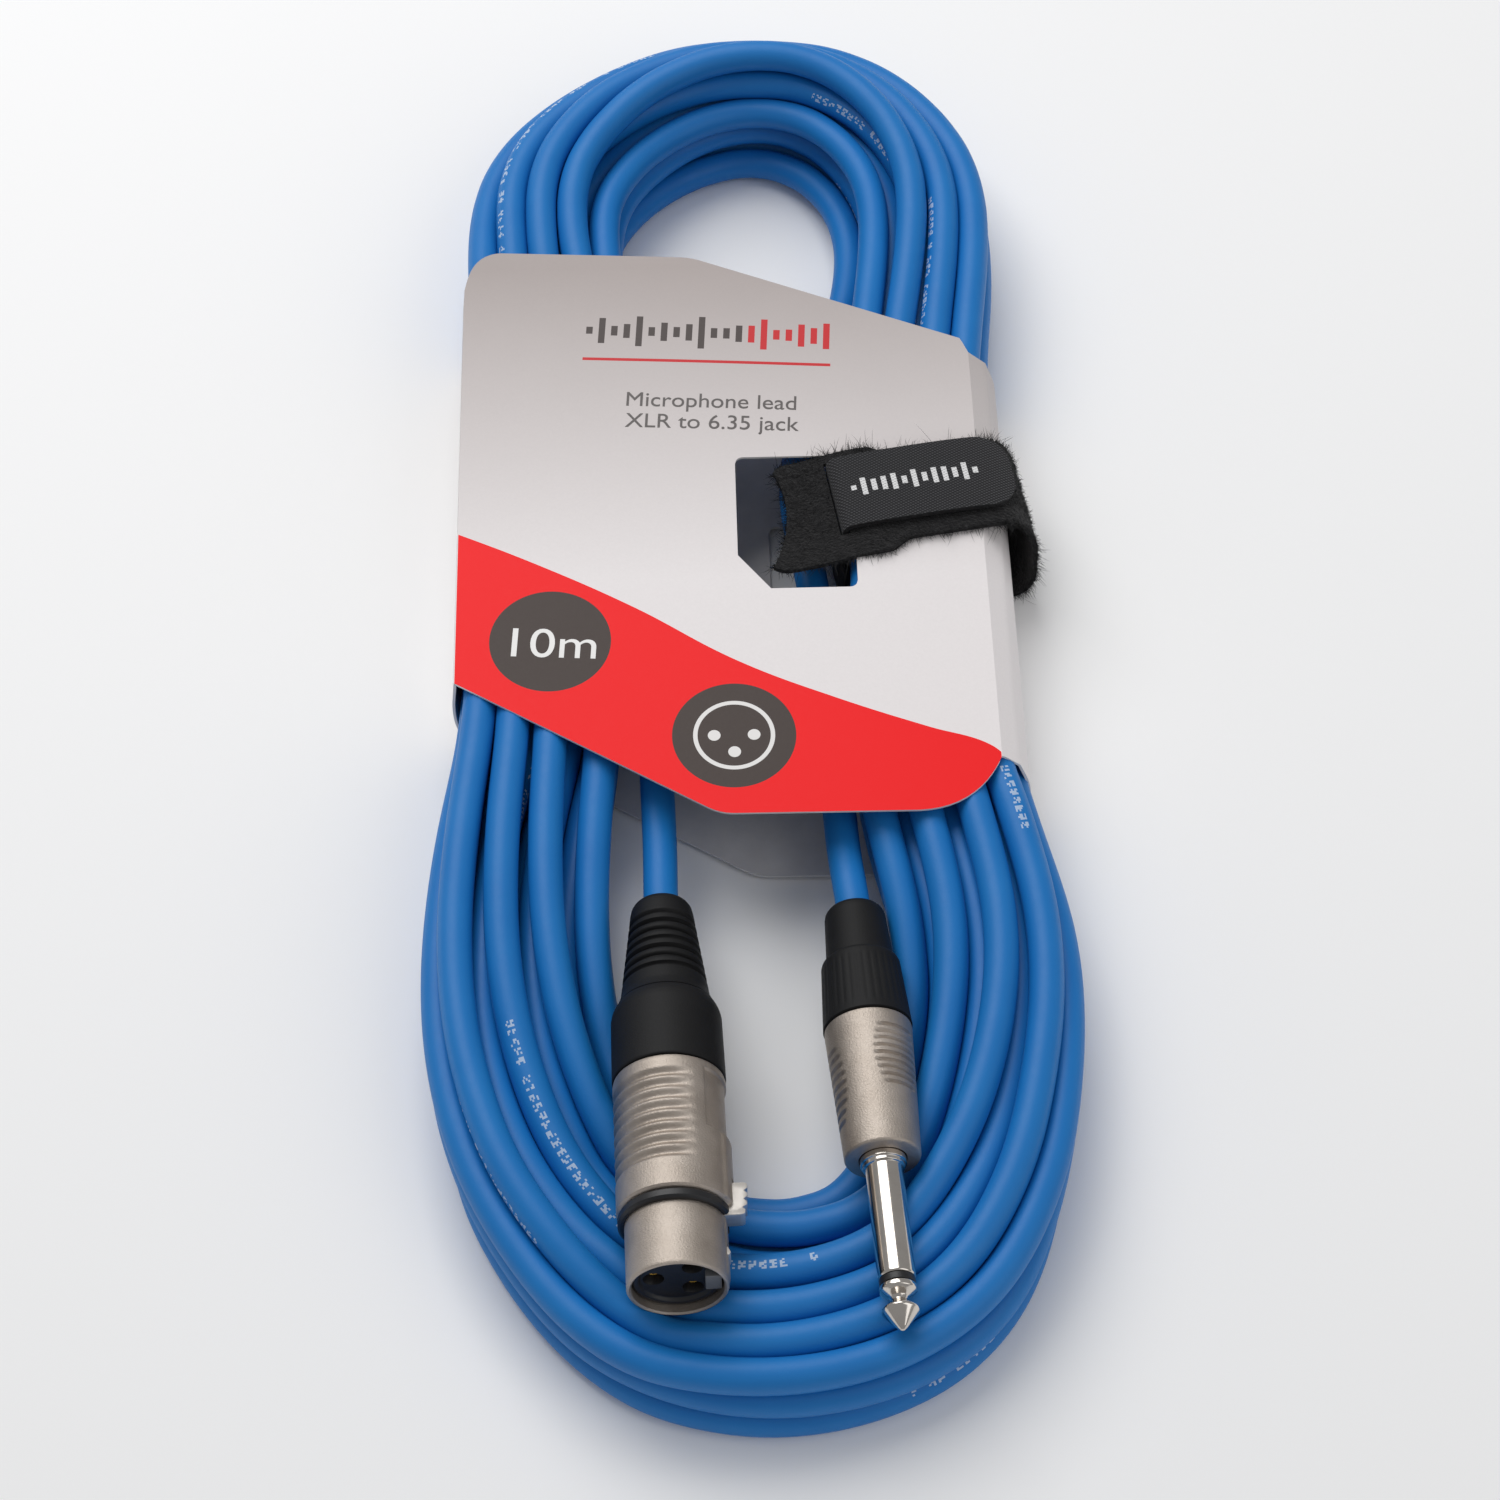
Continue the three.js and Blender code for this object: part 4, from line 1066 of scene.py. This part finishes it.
def strip_faces(run, half_widths, thickness, shares, shift, starts=0.0):
    """A strip's two faces as grids, from its middle line in local x and z.

    Each row is spread across the width by shares of its half width, and starts moves points along x."""
    tangent = unit(np.gradient(run, axis=0))
    normal = np.stack([-tangent[:, 1], tangent[:, 0]], 1) * thickness / 2
    y = half_widths[:, None] * shares[None, :] + shift[:, None]
    faces = []
    for side in (run + normal, run - normal):
        x, z = (np.repeat(column[:, None], len(shares), 1) for column in side.T)
        faces.append(np.stack([x + starts, y, z], -1))
    return faces


def band_run():
    """The band's middle line from the head over the leg, back under the card and up through its own slot."""
    head = np.unique(np.concatenate([stations(0.8, HEAD_END, SLOT_X - 0.9, SLOT_X + 0.9, 2), [SLOT_X]]))
    head = np.stack([head, head_height(head)], 1)
    over = np.linspace((2.0, BAND_MIDDLE), (14.2, BAND_MIDDLE), 14)[1:]
    bend = [(14.2, BAND_MIDDLE), (17.0, 24.4), (19.9, 22.4), (22.3, 17), (22.9, 11), (22.9, 5), (21.1, 1.6),
            (17.6, 0.5)]
    bend = spline(bend, np.linspace(0, 7, 60))[1:]
    under = np.linspace(bend[-1], (-11.6, 0.5), 30)[1:]
    corner = bend_points((-11.6, 0.5), (SLOT_X, 0.55), (SLOT_X, 2.7), 8)[1:]
    riser = np.linspace((SLOT_X, 2.7), (SLOT_X, 23.2), 22)[1:]
    return np.vstack([head, over, bend, under, corner, riser]), len(head)


def make_band():
    """The band: a wide slotted head with a hollow end, the strip round the leg, and the riser inside."""
    run, head_rows = band_run()
    x = run[:head_rows, 0]
    half = np.full(len(run), BAND_HALF)
    half[:head_rows] = BAND_HALF + (HEAD_HALF - BAND_HALF) * smooth_step((-1.5 - x) / 5)
    half[:head_rows] -= 1.3 * np.clip((HEAD_END + 2.2 - x) / 2.2, 0, 1) ** 2
    in_riser = np.arange(len(run)) > head_rows + ROWS_BEFORE_RISER
    narrowing = smooth_step((run[:, 1] - 12) / 9) * in_riser
    half -= narrowing * (BAND_HALF - TAB_HALF)
    slot = [side / HEAD_HALF for side in SLOT_Y]
    edges = [-1, -0.94, -0.78, 0.94, 1]
    shares = np.unique(np.round(np.concatenate([np.linspace(*slot, 19), edges]), 6))
    notch = np.zeros((len(run), len(shares)))
    fade = np.clip((SLOT_X - 1.2 - x) / (SLOT_X - 1.2 - HEAD_END), 0, 1)
    ends = HEAD_NOTCH * (1 - np.abs(shares) ** 2.2) - HEAD_SKEW * (0.5 - shares / 2)
    notch[:head_rows] = fade[:, None] * ends[None, :]
    outer, inner = strip_faces(run, half, BAND_T, shares, narrowing * TAB_SHIFT, notch)
    keep = np.ones((len(run) - 1, len(shares) - 1), bool)
    rows = np.flatnonzero((x[:-1] > SLOT_X - 0.95) & (x[1:] < SLOT_X + 0.95))
    columns = np.flatnonzero((shares[:-1] > slot[0] - 0.01) & (shares[1:] < slot[1] + 0.01))
    keep[np.ix_(rows, columns)] = False
    faces = [in_frame(STRAP_MATRIX, side) for side in (outer, inner)]
    band = sheet_piece("strap_loop_band", *faces, keep, sharp=50)
    finish_piece(band, "lead", "loop loop loop", "strap_band")
    return outer, inner, shares


# ---------------------------------------------------------------- strap: hook tab

def make_tab():
    """The strap's end: up out of the slot, folded over and pressed down along the band."""
    rise = np.linspace((SLOT_X, 23.3), (SLOT_X, 24.2), 4)
    fold = bend_points((SLOT_X, 24.2), (SLOT_X - 0.1, 25.9), (SLOT_X + 1.9, 26.1), 10)[1:]
    flat = [(SLOT_X + 1.9, 26.1), (-7, 26.35), (0, 26.45), (7, 26.45), (13, 26.2), (17, 25.6),
            (TAB_END, 24.8)]
    flat = spline(flat, np.linspace(0, 6, 70))[1:]
    run = np.vstack([rise, fold, flat])
    from_end = TAB_END - run[:, 0]
    near_end = np.clip(1 - from_end / TAB_CORNER, 0, 1)
    half = TAB_HALF - TAB_CORNER * (1 - np.sqrt(np.maximum(1 - near_end**2, 0)))
    half[:4] = TAB_HALF
    shares = np.linspace(-1, 1, 23)
    outer, inner = strip_faces(run, half, TAB_T, shares, np.full(len(run), TAB_SHIFT))
    along = np.repeat(lengths_along(run)[:, None], len(shares), 1)
    uv = np.stack([along, outer[..., 1] - TAB_SHIFT], -1) * MM
    faces = [in_frame(STRAP_MATRIX, side) for side in (outer, inner)]
    tab = sheet_piece("strap_hook_tab", *faces, uv=uv, sharp=50)
    finish_piece(tab, None, "hook hook_face hook_face", "strap_tab")
    return tab


# ---------------------------------------------------------------- strap: fibres

FLOOR_CLEARANCE = 0.03


def fibre_piece(name, roots, heads, lengths, radius, seed):
    """Short bent hairs: each a three-sided tapering tube from its root towards its own heading."""
    random = np.random.default_rng(seed)
    count = len(roots)
    swirl = random.normal(0, 0.75, (count, 3))
    heads = unit(heads + swirl * 0.55)
    turn = random.normal(0, 0.9, (count, 3))
    stages = []
    for share, thick in ((0.0, 1.0), (0.45, 0.9), (0.8, 0.7)):
        centre = roots + heads * (lengths * share)[:, None] + turn * (lengths * share**2 * 0.5)[:, None]
        side = unit(np.cross(heads, (0.3, 0.5, 0.8)))
        up = np.cross(heads, side)
        for k in range(3):
            angle = k * 2 * math.pi / 3
            stages.append(centre + (math.cos(angle) * side + math.sin(angle) * up) * radius * thick)
    tip = roots + heads * lengths[:, None] + turn * (lengths * 0.5)[:, None]
    points = np.stack(stages + [tip], 1)
    sides = [(s * 3, k, (k + 1) % 3) for s in (0, 1) for k in range(3)]
    ring = [[s + k, s + after, s + 3 + after, s + 3 + k] for s, k, after in sides]
    ends = [[6 + k, 6 + (k + 1) % 3, 9] for k in range(3)] + [[2, 1, 0]]
    faces = [[number * 10 + corner for corner in face] for number in range(count) for face in ring + ends]
    points = turned_by(STRAP_MATRIX, points.reshape(-1, 3))
    points[:, 2] = np.maximum(points[:, 2], FLOOR_CLEARANCE)
    piece = mesh_piece(name, placed(points), faces, sharp=80)
    finish_piece(piece, "lead", "fibre")


EDGE_FIBRES, END_FIBRES, FACE_FIBRES = 3400, 380, 7500
EDGE_FIBRE_R, FACE_FIBRE_R = 0.04, 0.045
# The band's last rows, in the riser and under the card, that get no fibres.
BARE_EDGE_ROWS, BARE_FACE_ROWS = 45, 60


def make_fibres(outer, inner, shares):
    """Loose loops and broken hairs along the band's edges and over its face."""
    random = np.random.default_rng(7)
    middle = (outer + inner) / 2
    rows = random.uniform(0, len(middle) - BARE_EDGE_ROWS, EDGE_FIBRES)
    low = np.floor(rows).astype(int)
    share = (rows - low)[:, None]
    side = random.integers(0, 2, len(rows))
    column = np.where(side == 1, len(shares) - 1, 0)
    roots = middle[low, column] * (1 - share) + middle[low + 1, column] * share
    normal = unit((outer - inner)[low, column])
    roots = roots + normal * random.uniform(-0.45, 0.45, len(rows))[:, None]
    out = np.zeros((len(rows), 3))
    out[:, 1] = np.where(side == 1, 1, -1)
    lengths = random.gamma(3.0, 0.3, len(rows)) + 0.25
    fibre_piece("strap_edge_fibres", roots - out * 0.2, out + normal * 0.4, lengths, EDGE_FIBRE_R, 11)

    end_columns = random.uniform(0, len(shares) - 1.001, END_FIBRES)
    low = np.floor(end_columns).astype(int)
    share = (end_columns - low)[:, None]
    roots = middle[0, low] * (1 - share) + middle[0, low + 1] * share
    heads = np.tile((-1.0, 0, 0.25), (len(roots), 1))
    lengths = random.gamma(3.0, 0.28, len(roots)) + 0.2
    fibre_piece("strap_end_fibres", roots, heads, lengths, EDGE_FIBRE_R, 12)

    rows = random.uniform(0, len(outer) - BARE_FACE_ROWS, FACE_FIBRES)
    columns = random.uniform(0, len(shares) - 1.001, len(rows))
    r, c = np.floor(rows).astype(int), np.floor(columns).astype(int)
    fr, fc = (rows - r)[:, None], (columns - c)[:, None]
    near = outer[r, c] * (1 - fr) + outer[r + 1, c] * fr
    far = outer[r, c + 1] * (1 - fr) + outer[r + 1, c + 1] * fr
    roots = near * (1 - fc) + far * fc
    in_slot = (np.abs(roots[:, 0] - SLOT_X) < 1.2) & (roots[:, 2] > 20)
    under_tab = (roots[:, 0] > SLOT_X - 1) & (roots[:, 2] > 24)
    under_tab &= np.abs(roots[:, 1] - TAB_SHIFT) < TAB_HALF + 0.2
    free = ~(in_slot | under_tab) & (roots[:, 2] > 1.2)
    normal = unit((outer - inner)[r, c])
    lengths = random.uniform(0.25, 0.7, len(rows))
    fibre_piece("strap_face_fibres", roots[free], normal[free] * 0.6, lengths[free], FACE_FIBRE_R, 13)


make_fibres(*make_band())
hook_tab = make_tab()
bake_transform(hook_tab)

# ---------------------------------------------------------------- XLR connector

SHELL_END = 39.8
NOSE_R = 8.4
BODY_R = 9.65
GRIP_FROM, GRIP_PITCH, GRIP_COUNT = 19.4, 2.25, 8
TAB_OPENING = (12.0, 19.2)
HOOK_OPENING = (4.6, 7.0)
OPENING_COLUMNS = 8


def turned_wall(name, matrix, along, outer, inner, keep=None, sharp=35):
    """A wall between two grids of radii, turned about a connector's y."""
    angle = column_angles(outer.shape[1])
    faces = []
    for radius in (outer, inner):
        points = [radius * np.cos(angle), along[:, None] + 0 * radius, radius * np.sin(angle)]
        faces.append(in_frame(matrix, np.stack(points, -1)))
    return sheet_piece(name, *faces, keep, wrap=True, sharp=sharp)


def radii_along(along, columns, stops, radii):
    """The same radius all round, through radii at stops along the axis."""
    return np.interp(along, stops, radii)[:, None] + np.zeros((1, columns))


def window_of(value, low, high, edge):
    """One between low and high, easing to nothing over an edge's width beyond them."""
    return smooth_step((value - low) / edge + 1) * smooth_step((high - value) / edge + 1)


def xlr_shell_radius(along, angle):
    """The shell's outside: nose, shoulder, finger grips on its left, and the latch's housing."""
    profile = [(0, NOSE_R - 0.4), (0.1, NOSE_R - 0.15), (0.4, NOSE_R), (13.7, NOSE_R), (13.95, BODY_R - 0.4),
               (14.4, BODY_R), (39.2, BODY_R), (39.6, BODY_R - 0.1), (SHELL_END, BODY_R - 0.4)]
    radius = np.interp(along, *np.array(profile).T)
    turn = np.degrees(angle)
    phase = (along - GRIP_FROM) / GRIP_PITCH
    groove = 0.5 - 0.5 * np.cos(phase * 2 * math.pi)
    groove = groove * (phase > 0) * (phase < GRIP_COUNT)
    grip = window_of(turn, 88, 246, 26)
    radius = radius - 0.75 * groove * grip
    right = np.abs((turn + 180) % 360 - 180)
    recess = window_of(along, 27.0, 38.0, 0.3) * window_of(right, -1, 50, 3)
    housing = window_of(along, 14.6, 26.4, 0.6) * window_of(right, -1, 26, 7)
    rib = window_of(along, 1.6, 11.4, 0.5) * window_of(right, -1, 14, 2.5)
    return radius - 0.38 * recess + 0.35 * housing + 0.22 * rib


def column_angles(columns):
    """The angle of each column round a connector's axis, as one row."""
    return (np.arange(columns) * 2 * math.pi / columns)[None, :]


def opening_mask(along, columns, *openings):
    """Cells that are kept round openings on the connector's right side."""
    keep = np.ones((len(along) - 1, columns), bool)
    for low, high in openings:
        rows = np.flatnonzero((along[:-1] > low - 0.01) & (along[1:] < high + 0.01))
        beside = np.r_[np.arange(OPENING_COLUMNS), np.arange(columns - OPENING_COLUMNS, columns)]
        keep[np.ix_(rows, beside)] = False
    return keep


def make_xlr_shell():
    """The die-cast shell, open on its right side for the latch's tab and hook."""
    columns = 192
    along = [stations(0.1, 0, 0.4), stations(0.45, 0.4, *HOOK_OPENING, TAB_OPENING[0], 13.6),
             stations(0.1, 13.6, 14.6), stations(0.3, 14.6, TAB_OPENING[1]),
             stations(0.2, TAB_OPENING[1], 39.1), stations(0.1, 39.1, SHELL_END)]
    along = np.unique(np.round(np.concatenate(along), 5))
    outer = xlr_shell_radius(along[:, None], column_angles(columns))
    inner = radii_along(along, columns, [0, 0.3, 19.6, 20.4, SHELL_END], [7.95, 7.65, 7.65, 8.6, 8.6])
    keep = opening_mask(along, columns, TAB_OPENING, HOOK_OPENING)
    shell = turned_wall("xlr_shell_body", XLR_MATRIX, along, outer, inner, keep, sharp=32)
    finish_piece(shell, "lead", "satin_nickel satin_nickel satin_nickel", "xlr_shell")


def make_xlr_ring():
    """The black ring behind the nose, open where the latch's tab passes."""
    columns = 144
    along = stations(0.23, 11.85, 13.7)
    outer = radii_along(along, columns, [11.85, 12.2, 13.35, 13.7], [9.05, 9.5, 9.5, 9.15])
    inner = np.full_like(outer, NOSE_R + 0.08)
    keep = opening_mask(along, columns, (along[0], along[-1]))
    ring = turned_wall("xlr_code_ring", XLR_MATRIX, along, outer, inner, keep)
    finish_piece(ring, "lead", "black_plastic black_plastic black_plastic", "xlr_ring")


CONTACT_CIRCLE = 3.9
CONTACT_ANGLES = (50, -50, 180)
SMALL_SEGMENTS = 40


def contact_matrix(degrees):
    """A socket contact's own frame, on its circle round the XLR's axis."""
    turn = math.radians(degrees)
    place = (CONTACT_CIRCLE * math.cos(turn), 0, CONTACT_CIRCLE * math.sin(turn))
    return XLR_MATRIX @ Matrix.Translation(place)


def cut_away(piece, cutters):
    """Cut pieces out of a piece, and leave nothing of the cutters."""
    for cutter in cutters:
        change = piece.modifiers.new("cut", "BOOLEAN")
        change.operation = "DIFFERENCE"
        change.solver = "EXACT"
        change.object = cutter
    graph = bpy.context.evaluated_depsgraph_get()
    made = bpy.data.meshes.new_from_object(piece.evaluated_get(graph))
    piece.modifiers.clear()
    piece.data = made
    made.shade_smooth()
    made.set_sharp_from_angle(angle=math.radians(32))
    for cutter in cutters:
        bpy.data.objects.remove(cutter)


def make_xlr_insert():
    """The black insert, with three flared bores and a groove for the latch's guide."""
    face = [(2.2, 0), (2.2, 6.0), (1.5, 6.5), (1.5, 7.3), (20.8, 7.3), (20.8, 8.2), (24, 8.2), (24, 7.3),
            (27, 7.3), (27, 0)]
    insert = lathe_piece("xlr_contact_carrier", eased(face, 0.25, closed=False), XLR_MATRIX, closed=False)
    bore = [(-1, 0), (-1, 2.6), (2.3, 1.75), (2.8, 1.5), (29, 1.5), (29, 0)]
    cutters = [lathe_piece("bore", bore, contact_matrix(degrees), closed=False, segments=SMALL_SEGMENTS)
               for degrees in CONTACT_ANGLES]
    groove = [(4.6, -1), (12, -1), (12, 30), (4.6, 30)]
    cutters.append(plate_piece("groove", groove, -2.3, 2.3, XLR_MATRIX, 0.05))
    cut_away(insert, cutters)
    finish_piece(insert, "lead", "black_plastic", "xlr_insert")


def make_xlr_key():
    """The grey end of the latch's guide, beside the insert's face."""
    outline = [(4.5, 1.0), (7.2, 1.0), (7.2, 4.6), (4.5, 4.6)]
    key = plate_piece("xlr_latch_guide", outline, -2.1, 2.1, XLR_MATRIX, 0.2)
    finish_piece(key, "lead", "grey_plastic")


def make_xlr_contacts():
    """The three gilt socket contacts, each a tube with a wider cup at its back."""
    tube = [(4.0, 0.8), (3.6, 0.95), (3.7, 1.2), (26, 1.2), (27.4, 1.42), (31, 1.42), (31, 0.85), (4.3, 0.8)]
    for number, degrees in enumerate(CONTACT_ANGLES, 1):
        matrix = contact_matrix(degrees)
        contact = lathe_piece(f"xlr_socket_{number}", eased(tube, 0.12), matrix, segments=SMALL_SEGMENTS)
        finish_piece(contact, "lead", "gold", f"xlr_contact_{number}")


def make_xlr_latch():
    """The arm, its hook, and the thumb tab with a saw-toothed edge."""
    teeth = [(10.9, 12.5), (11.6, 12.7), (11.7, 13.5), (11.2, 13.9), (12.0, 14.4), (12.0, 15.1),
             (11.5, 15.5), (12.1, 16.0), (12.1, 16.7), (11.6, 17.1), (12.2, 17.6), (12.1, 18.5),
             (11.5, 18.7)]
    outline = [(6.2, 26), (6.2, 5), (8.6, 5), (8.9, 5.5), (8.4, 6.6), (7.0, 6.6), (7.0, 12.5)] + teeth
    outline += [(7.0, 18.7), (7.0, 26)]
    latch = plate_piece("xlr_latch_tab", outline, -1.85, 1.85, XLR_MATRIX, 0.14)
    finish_piece(latch, "latch", "latch_nickel", "xlr_latch")


def make_latch_leaf():
    """The leaf spring under the arm, from its root in the shell to its tip."""
    y = np.linspace(12, 25, 27)
    x = np.interp(y, [12, 16, 20, 25], [5.75, 5.35, 4.95, 4.95])
    outline = list(zip(x + 0.12, y)) + list(zip(x - 0.12, y))[::-1]
    leaf = plate_piece("xlr_latch_leaf", outline, -1.4, 1.4, XLR_MATRIX, 0.04)
    finish_piece(leaf, None, "steel", "xlr_latch_spring")
    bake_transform(leaf)


BOOT_BORE = 3.25
GROOVE_DEPTH, GROOVE_HALF = 0.75, 0.42


def boot_profile(start, end, points, seat, grooves=()):
    """A boot's outside from its front to the cable, with rounded grooves, and its bore and seat back again."""
    along = stations(0.22, start, end)
    radius = np.interp(along, *np.array(points).T)
    for groove in grooves:
        radius -= GROOVE_DEPTH * np.exp(-(((along - groove) / GROOVE_HALF) ** 4))
    outside = np.stack([along, radius], 1)
    inside = [(end, BOOT_BORE), (seat[0], BOOT_BORE), seat, (start, seat[1])]
    return np.vstack([outside, inside])


def make_xlr_back():
    """The threaded collar and the ribbed boot."""
    collar = [(33.4, 7.6), (33.4, 8.3), (39.95, 8.3), (39.95, 9.6), (40.3, 9.75), (52.6, 9.6), (53.6, 9.4),
              (54.6, 9.0), (55.35, 8.6), (55.35, 5.4), (52, 5.4), (47, 7.6)]
    ring = lathe_piece("xlr_back_collar", eased(collar, 0.2), XLR_MATRIX)
    finish_piece(ring, "lead", "rubber", "xlr_collar")
    shape = [(55.45, 8.55), (56.2, 8.2), (57.4, 7.8), (60, 7.5), (75.4, 5.62), (76.5, 5.4), (77.3, 4.95),
             (77.7, 4.3), (XLR_BOOT_END, 3.9)]
    grooves = 60.4 + 2.05 * np.arange(7)
    profile = boot_profile(55.45, XLR_BOOT_END, shape, (53.05, 4.9), grooves)
    boot = lathe_piece("xlr_cable_boot", profile, XLR_MATRIX, sharp=50)
    finish_piece(boot, "lead", "rubber", "xlr_boot")


make_xlr_shell()
make_xlr_ring()
make_xlr_insert()
make_xlr_contacts()
make_xlr_key()
make_xlr_latch()
make_latch_leaf()
make_xlr_back()

# ---------------------------------------------------------------- jack plug

BARREL_END = 25.8
JACK_GRIPS = ((180, 46, 5.6, 1.75, 9), (48, 44, 11.0, 1.4, 9))


def make_jack_barrel():
    """The barrel, wider at its back, with a patch of finger grooves on two sides."""
    columns = 168
    along = [stations(0.1, 0, 0.8), stations(0.4, 0.8, 5.2), stations(0.16, 5.2, 25.3),
             stations(0.1, 25.3, BARREL_END)]
    along = np.unique(np.concatenate(along))
    angle = column_angles(columns)
    profile = [(0, 6.05), (0.12, 6.3), (0.45, 6.5), (25.3, 7.6), (25.6, 7.55), (BARREL_END, 7.3)]
    outer = radii_along(along, columns, *np.array(profile).T)
    turn = np.degrees(angle)
    for centre, spread, start, pitch, count in JACK_GRIPS:
        away = np.abs((turn - centre + 180) % 360 - 180)
        phase = (along[:, None] - start) / pitch
        groove = np.clip(np.sin(phase * 2 * math.pi), 0, 1) ** 0.7 * (phase > 0) * (phase < count)
        reach = spread * (0.72 + 0.28 * np.sin(np.clip(phase / count, 0, 1) * math.pi))
        outer = outer - 0.55 * groove * smooth_step((reach - away) / 12)
    inner = radii_along(along, columns, [0, 1.4, 1.5, BARREL_END], [4.15, 4.15, 5.8, 6.75])
    barrel = turned_wall("jack_barrel", JACK_MATRIX, along, outer, inner, sharp=32)
    finish_piece(barrel, "lead", "satin_nickel satin_nickel satin_nickel", "jack_shell")


def collar_ridges(radius, along, angle):
    """Fine ridges along the collar's side."""
    strength = smooth_step((along - 26.8) / 1.5) * smooth_step((38.4 - along) / 1.2) * (radius > 6.4)
    return radius - 0.07 * strength * (0.5 - 0.5 * np.cos(angle * 34)) ** 2


def make_jack_back():
    """The finely ridged collar and the plain boot."""
    along = stations(0.5, 26.1, 38.8)
    wall = np.stack([along, np.interp(along, [26.1, 38.8], [7.75, 6.95])], 1)
    collar = np.vstack([[(20.2, 5.5), (20.2, 6.15), (25.95, 6.3), (25.95, 7.5)], wall,
                        [(39.25, 6.8), (39.6, 6.4), (39.6, 4.4), (36, 4.4), (33, 5.5)]])
    ring = lathe_piece("jack_back_collar", collar, JACK_MATRIX, segments=272, ripple=collar_ridges, sharp=40)
    finish_piece(ring, "lead", "rubber", "jack_collar")
    shape = [(39.75, 5.95), (40.6, 5.9), (49.2, 5.42), (50.0, 5.25), (50.6, 4.8), (50.9, 4.2),
             (JACK_BOOT_END, 3.8)]
    profile = boot_profile(39.75, JACK_BOOT_END, shape, (36.7, 4.1))
    boot = lathe_piece("jack_cable_boot", profile, JACK_MATRIX, sharp=50)
    finish_piece(boot, "lead", "rubber", "jack_boot")


# The jack's shaft parts: name, slot, node, rounding, whether the profile closes up, and profile.
SHAFT_PARTS = [
    ("jack_shaft", "bright_nickel", "jack_sleeve_contact", 0.12, True, [
        (-22.55, 1.9), (-22.55, 3.0), (-22.3, 3.175), (-1.9, 3.175), (-1.75, 3.6), (-1.15, 3.62),
        (-1.05, 3.95), (1.7, 3.95), (1.7, 5.3), (4.2, 5.3), (4.2, 3.6), (7, 3.6), (7, 1.9)]),
    ("jack_black_ring", "black_plastic", "jack_insulator", 0.1, True, [
        (-23.85, 1.15), (-23.85, 3.0), (-22.65, 3.0), (-22.65, 1.6), (8, 1.6), (8, 1.15)]),
    ("jack_point", "bright_nickel", "jack_tip", 0.15, False, [
        (-31.9, 0), (-31.85, 0.35), (-31.4, 0.85), (-28.75, 3.1), (-28.45, 3.2), (-28.15, 3.1),
        (-27.2, 1.75), (-26.6, 1.4), (-26.0, 1.6), (-25.3, 2.7), (-25.0, 3.1), (-24.7, 3.17),
        (-24.1, 3.1), (-24.0, 3.0), (-23.95, 0.95), (9.5, 0.95), (9.5, 0)]),
]


def make_jack_shaft():
    """The shaft, the black ring between its two contacts, and the point with its rod."""
    for name, slot, node_name, cut, closed, profile in SHAFT_PARTS:
        part = lathe_piece(name, eased(profile, cut, closed), JACK_MATRIX, closed)
        finish_piece(part, "lead", slot, node_name)


make_jack_barrel()
make_jack_back()
make_jack_shaft()

# ---------------------------------------------------------------- inner parts kept from the CAD

INNER_PARTS = {
    "xlr_chuck": "grey_plastic", "jack_chuck": "grey_plastic",
    "xlr_lead_1": "lead_red", "xlr_lead_2": "lead_white", "xlr_lead_3": "lead_copper",
    "jack_lead_tip": "lead_white", "jack_lead_shield": "lead_copper",
}
for node_name, key in INNER_PARTS.items():
    for material_slot in bpy.data.objects[node_name].material_slots:
        material_slot.material = MATERIALS[key]

# ---------------------------------------------------------------- the lead's length along its path

CORD_LENGTH = float(lengths_along(CABLE_PATH)[-1])

# ---------------------------------------------------------------- floor and light

FLOOR_SIZE = 8.0
SKY_COLOUR, SKY_STRENGTH = (0.97, 0.975, 0.99, 1), 0.33
LIGHT_AIM = (0, -0.02, 0)


def soft_light(name, place, size, power):
    data = bpy.data.lights.new(name, "AREA")
    data.shape = "RECTANGLE"
    data.size, data.size_y = size
    data.energy = power
    lamp = bpy.data.objects.new(name, data)
    lamp.location = place
    lamp.rotation_euler = (Vector(LIGHT_AIM) - Vector(place)).to_track_quat("-Z", "Y").to_euler()
    bpy.context.collection.objects.link(lamp)


def make_studio():
    half = FLOOR_SIZE / 2
    corners = [(-half, -half, 0), (half, -half, 0), (half, half, 0), (-half, half, 0)]
    mesh = bpy.data.meshes.new("floor")
    mesh.from_pydata(corners, [], [(0, 1, 2, 3)])
    floor = bpy.data.objects.new("floor", mesh)
    bpy.context.collection.objects.link(floor)
    shade = Shade("floor_white", Roughness=0.9, Specular_IOR_Level=0.1)
    shade.feed(shade.shader.inputs["Base Color"], tone(253, 253, 253))
    mesh.materials.append(shade.material)
    world = bpy.data.worlds.new("studio")
    world.use_nodes = True
    sky = world.node_tree.nodes["Background"]
    sky.inputs["Color"].default_value = SKY_COLOUR
    sky.inputs["Strength"].default_value = SKY_STRENGTH
    bpy.context.scene.world = world
    bpy.context.scene.view_settings.view_transform = "Standard"
    soft_light("key_light", (-0.3, 0.55, 0.92), (0.9, 0.9), 8.6)
    soft_light("fill_light", (0.75, -0.55, 0.75), (0.6, 1.0), 2.0)


make_studio()
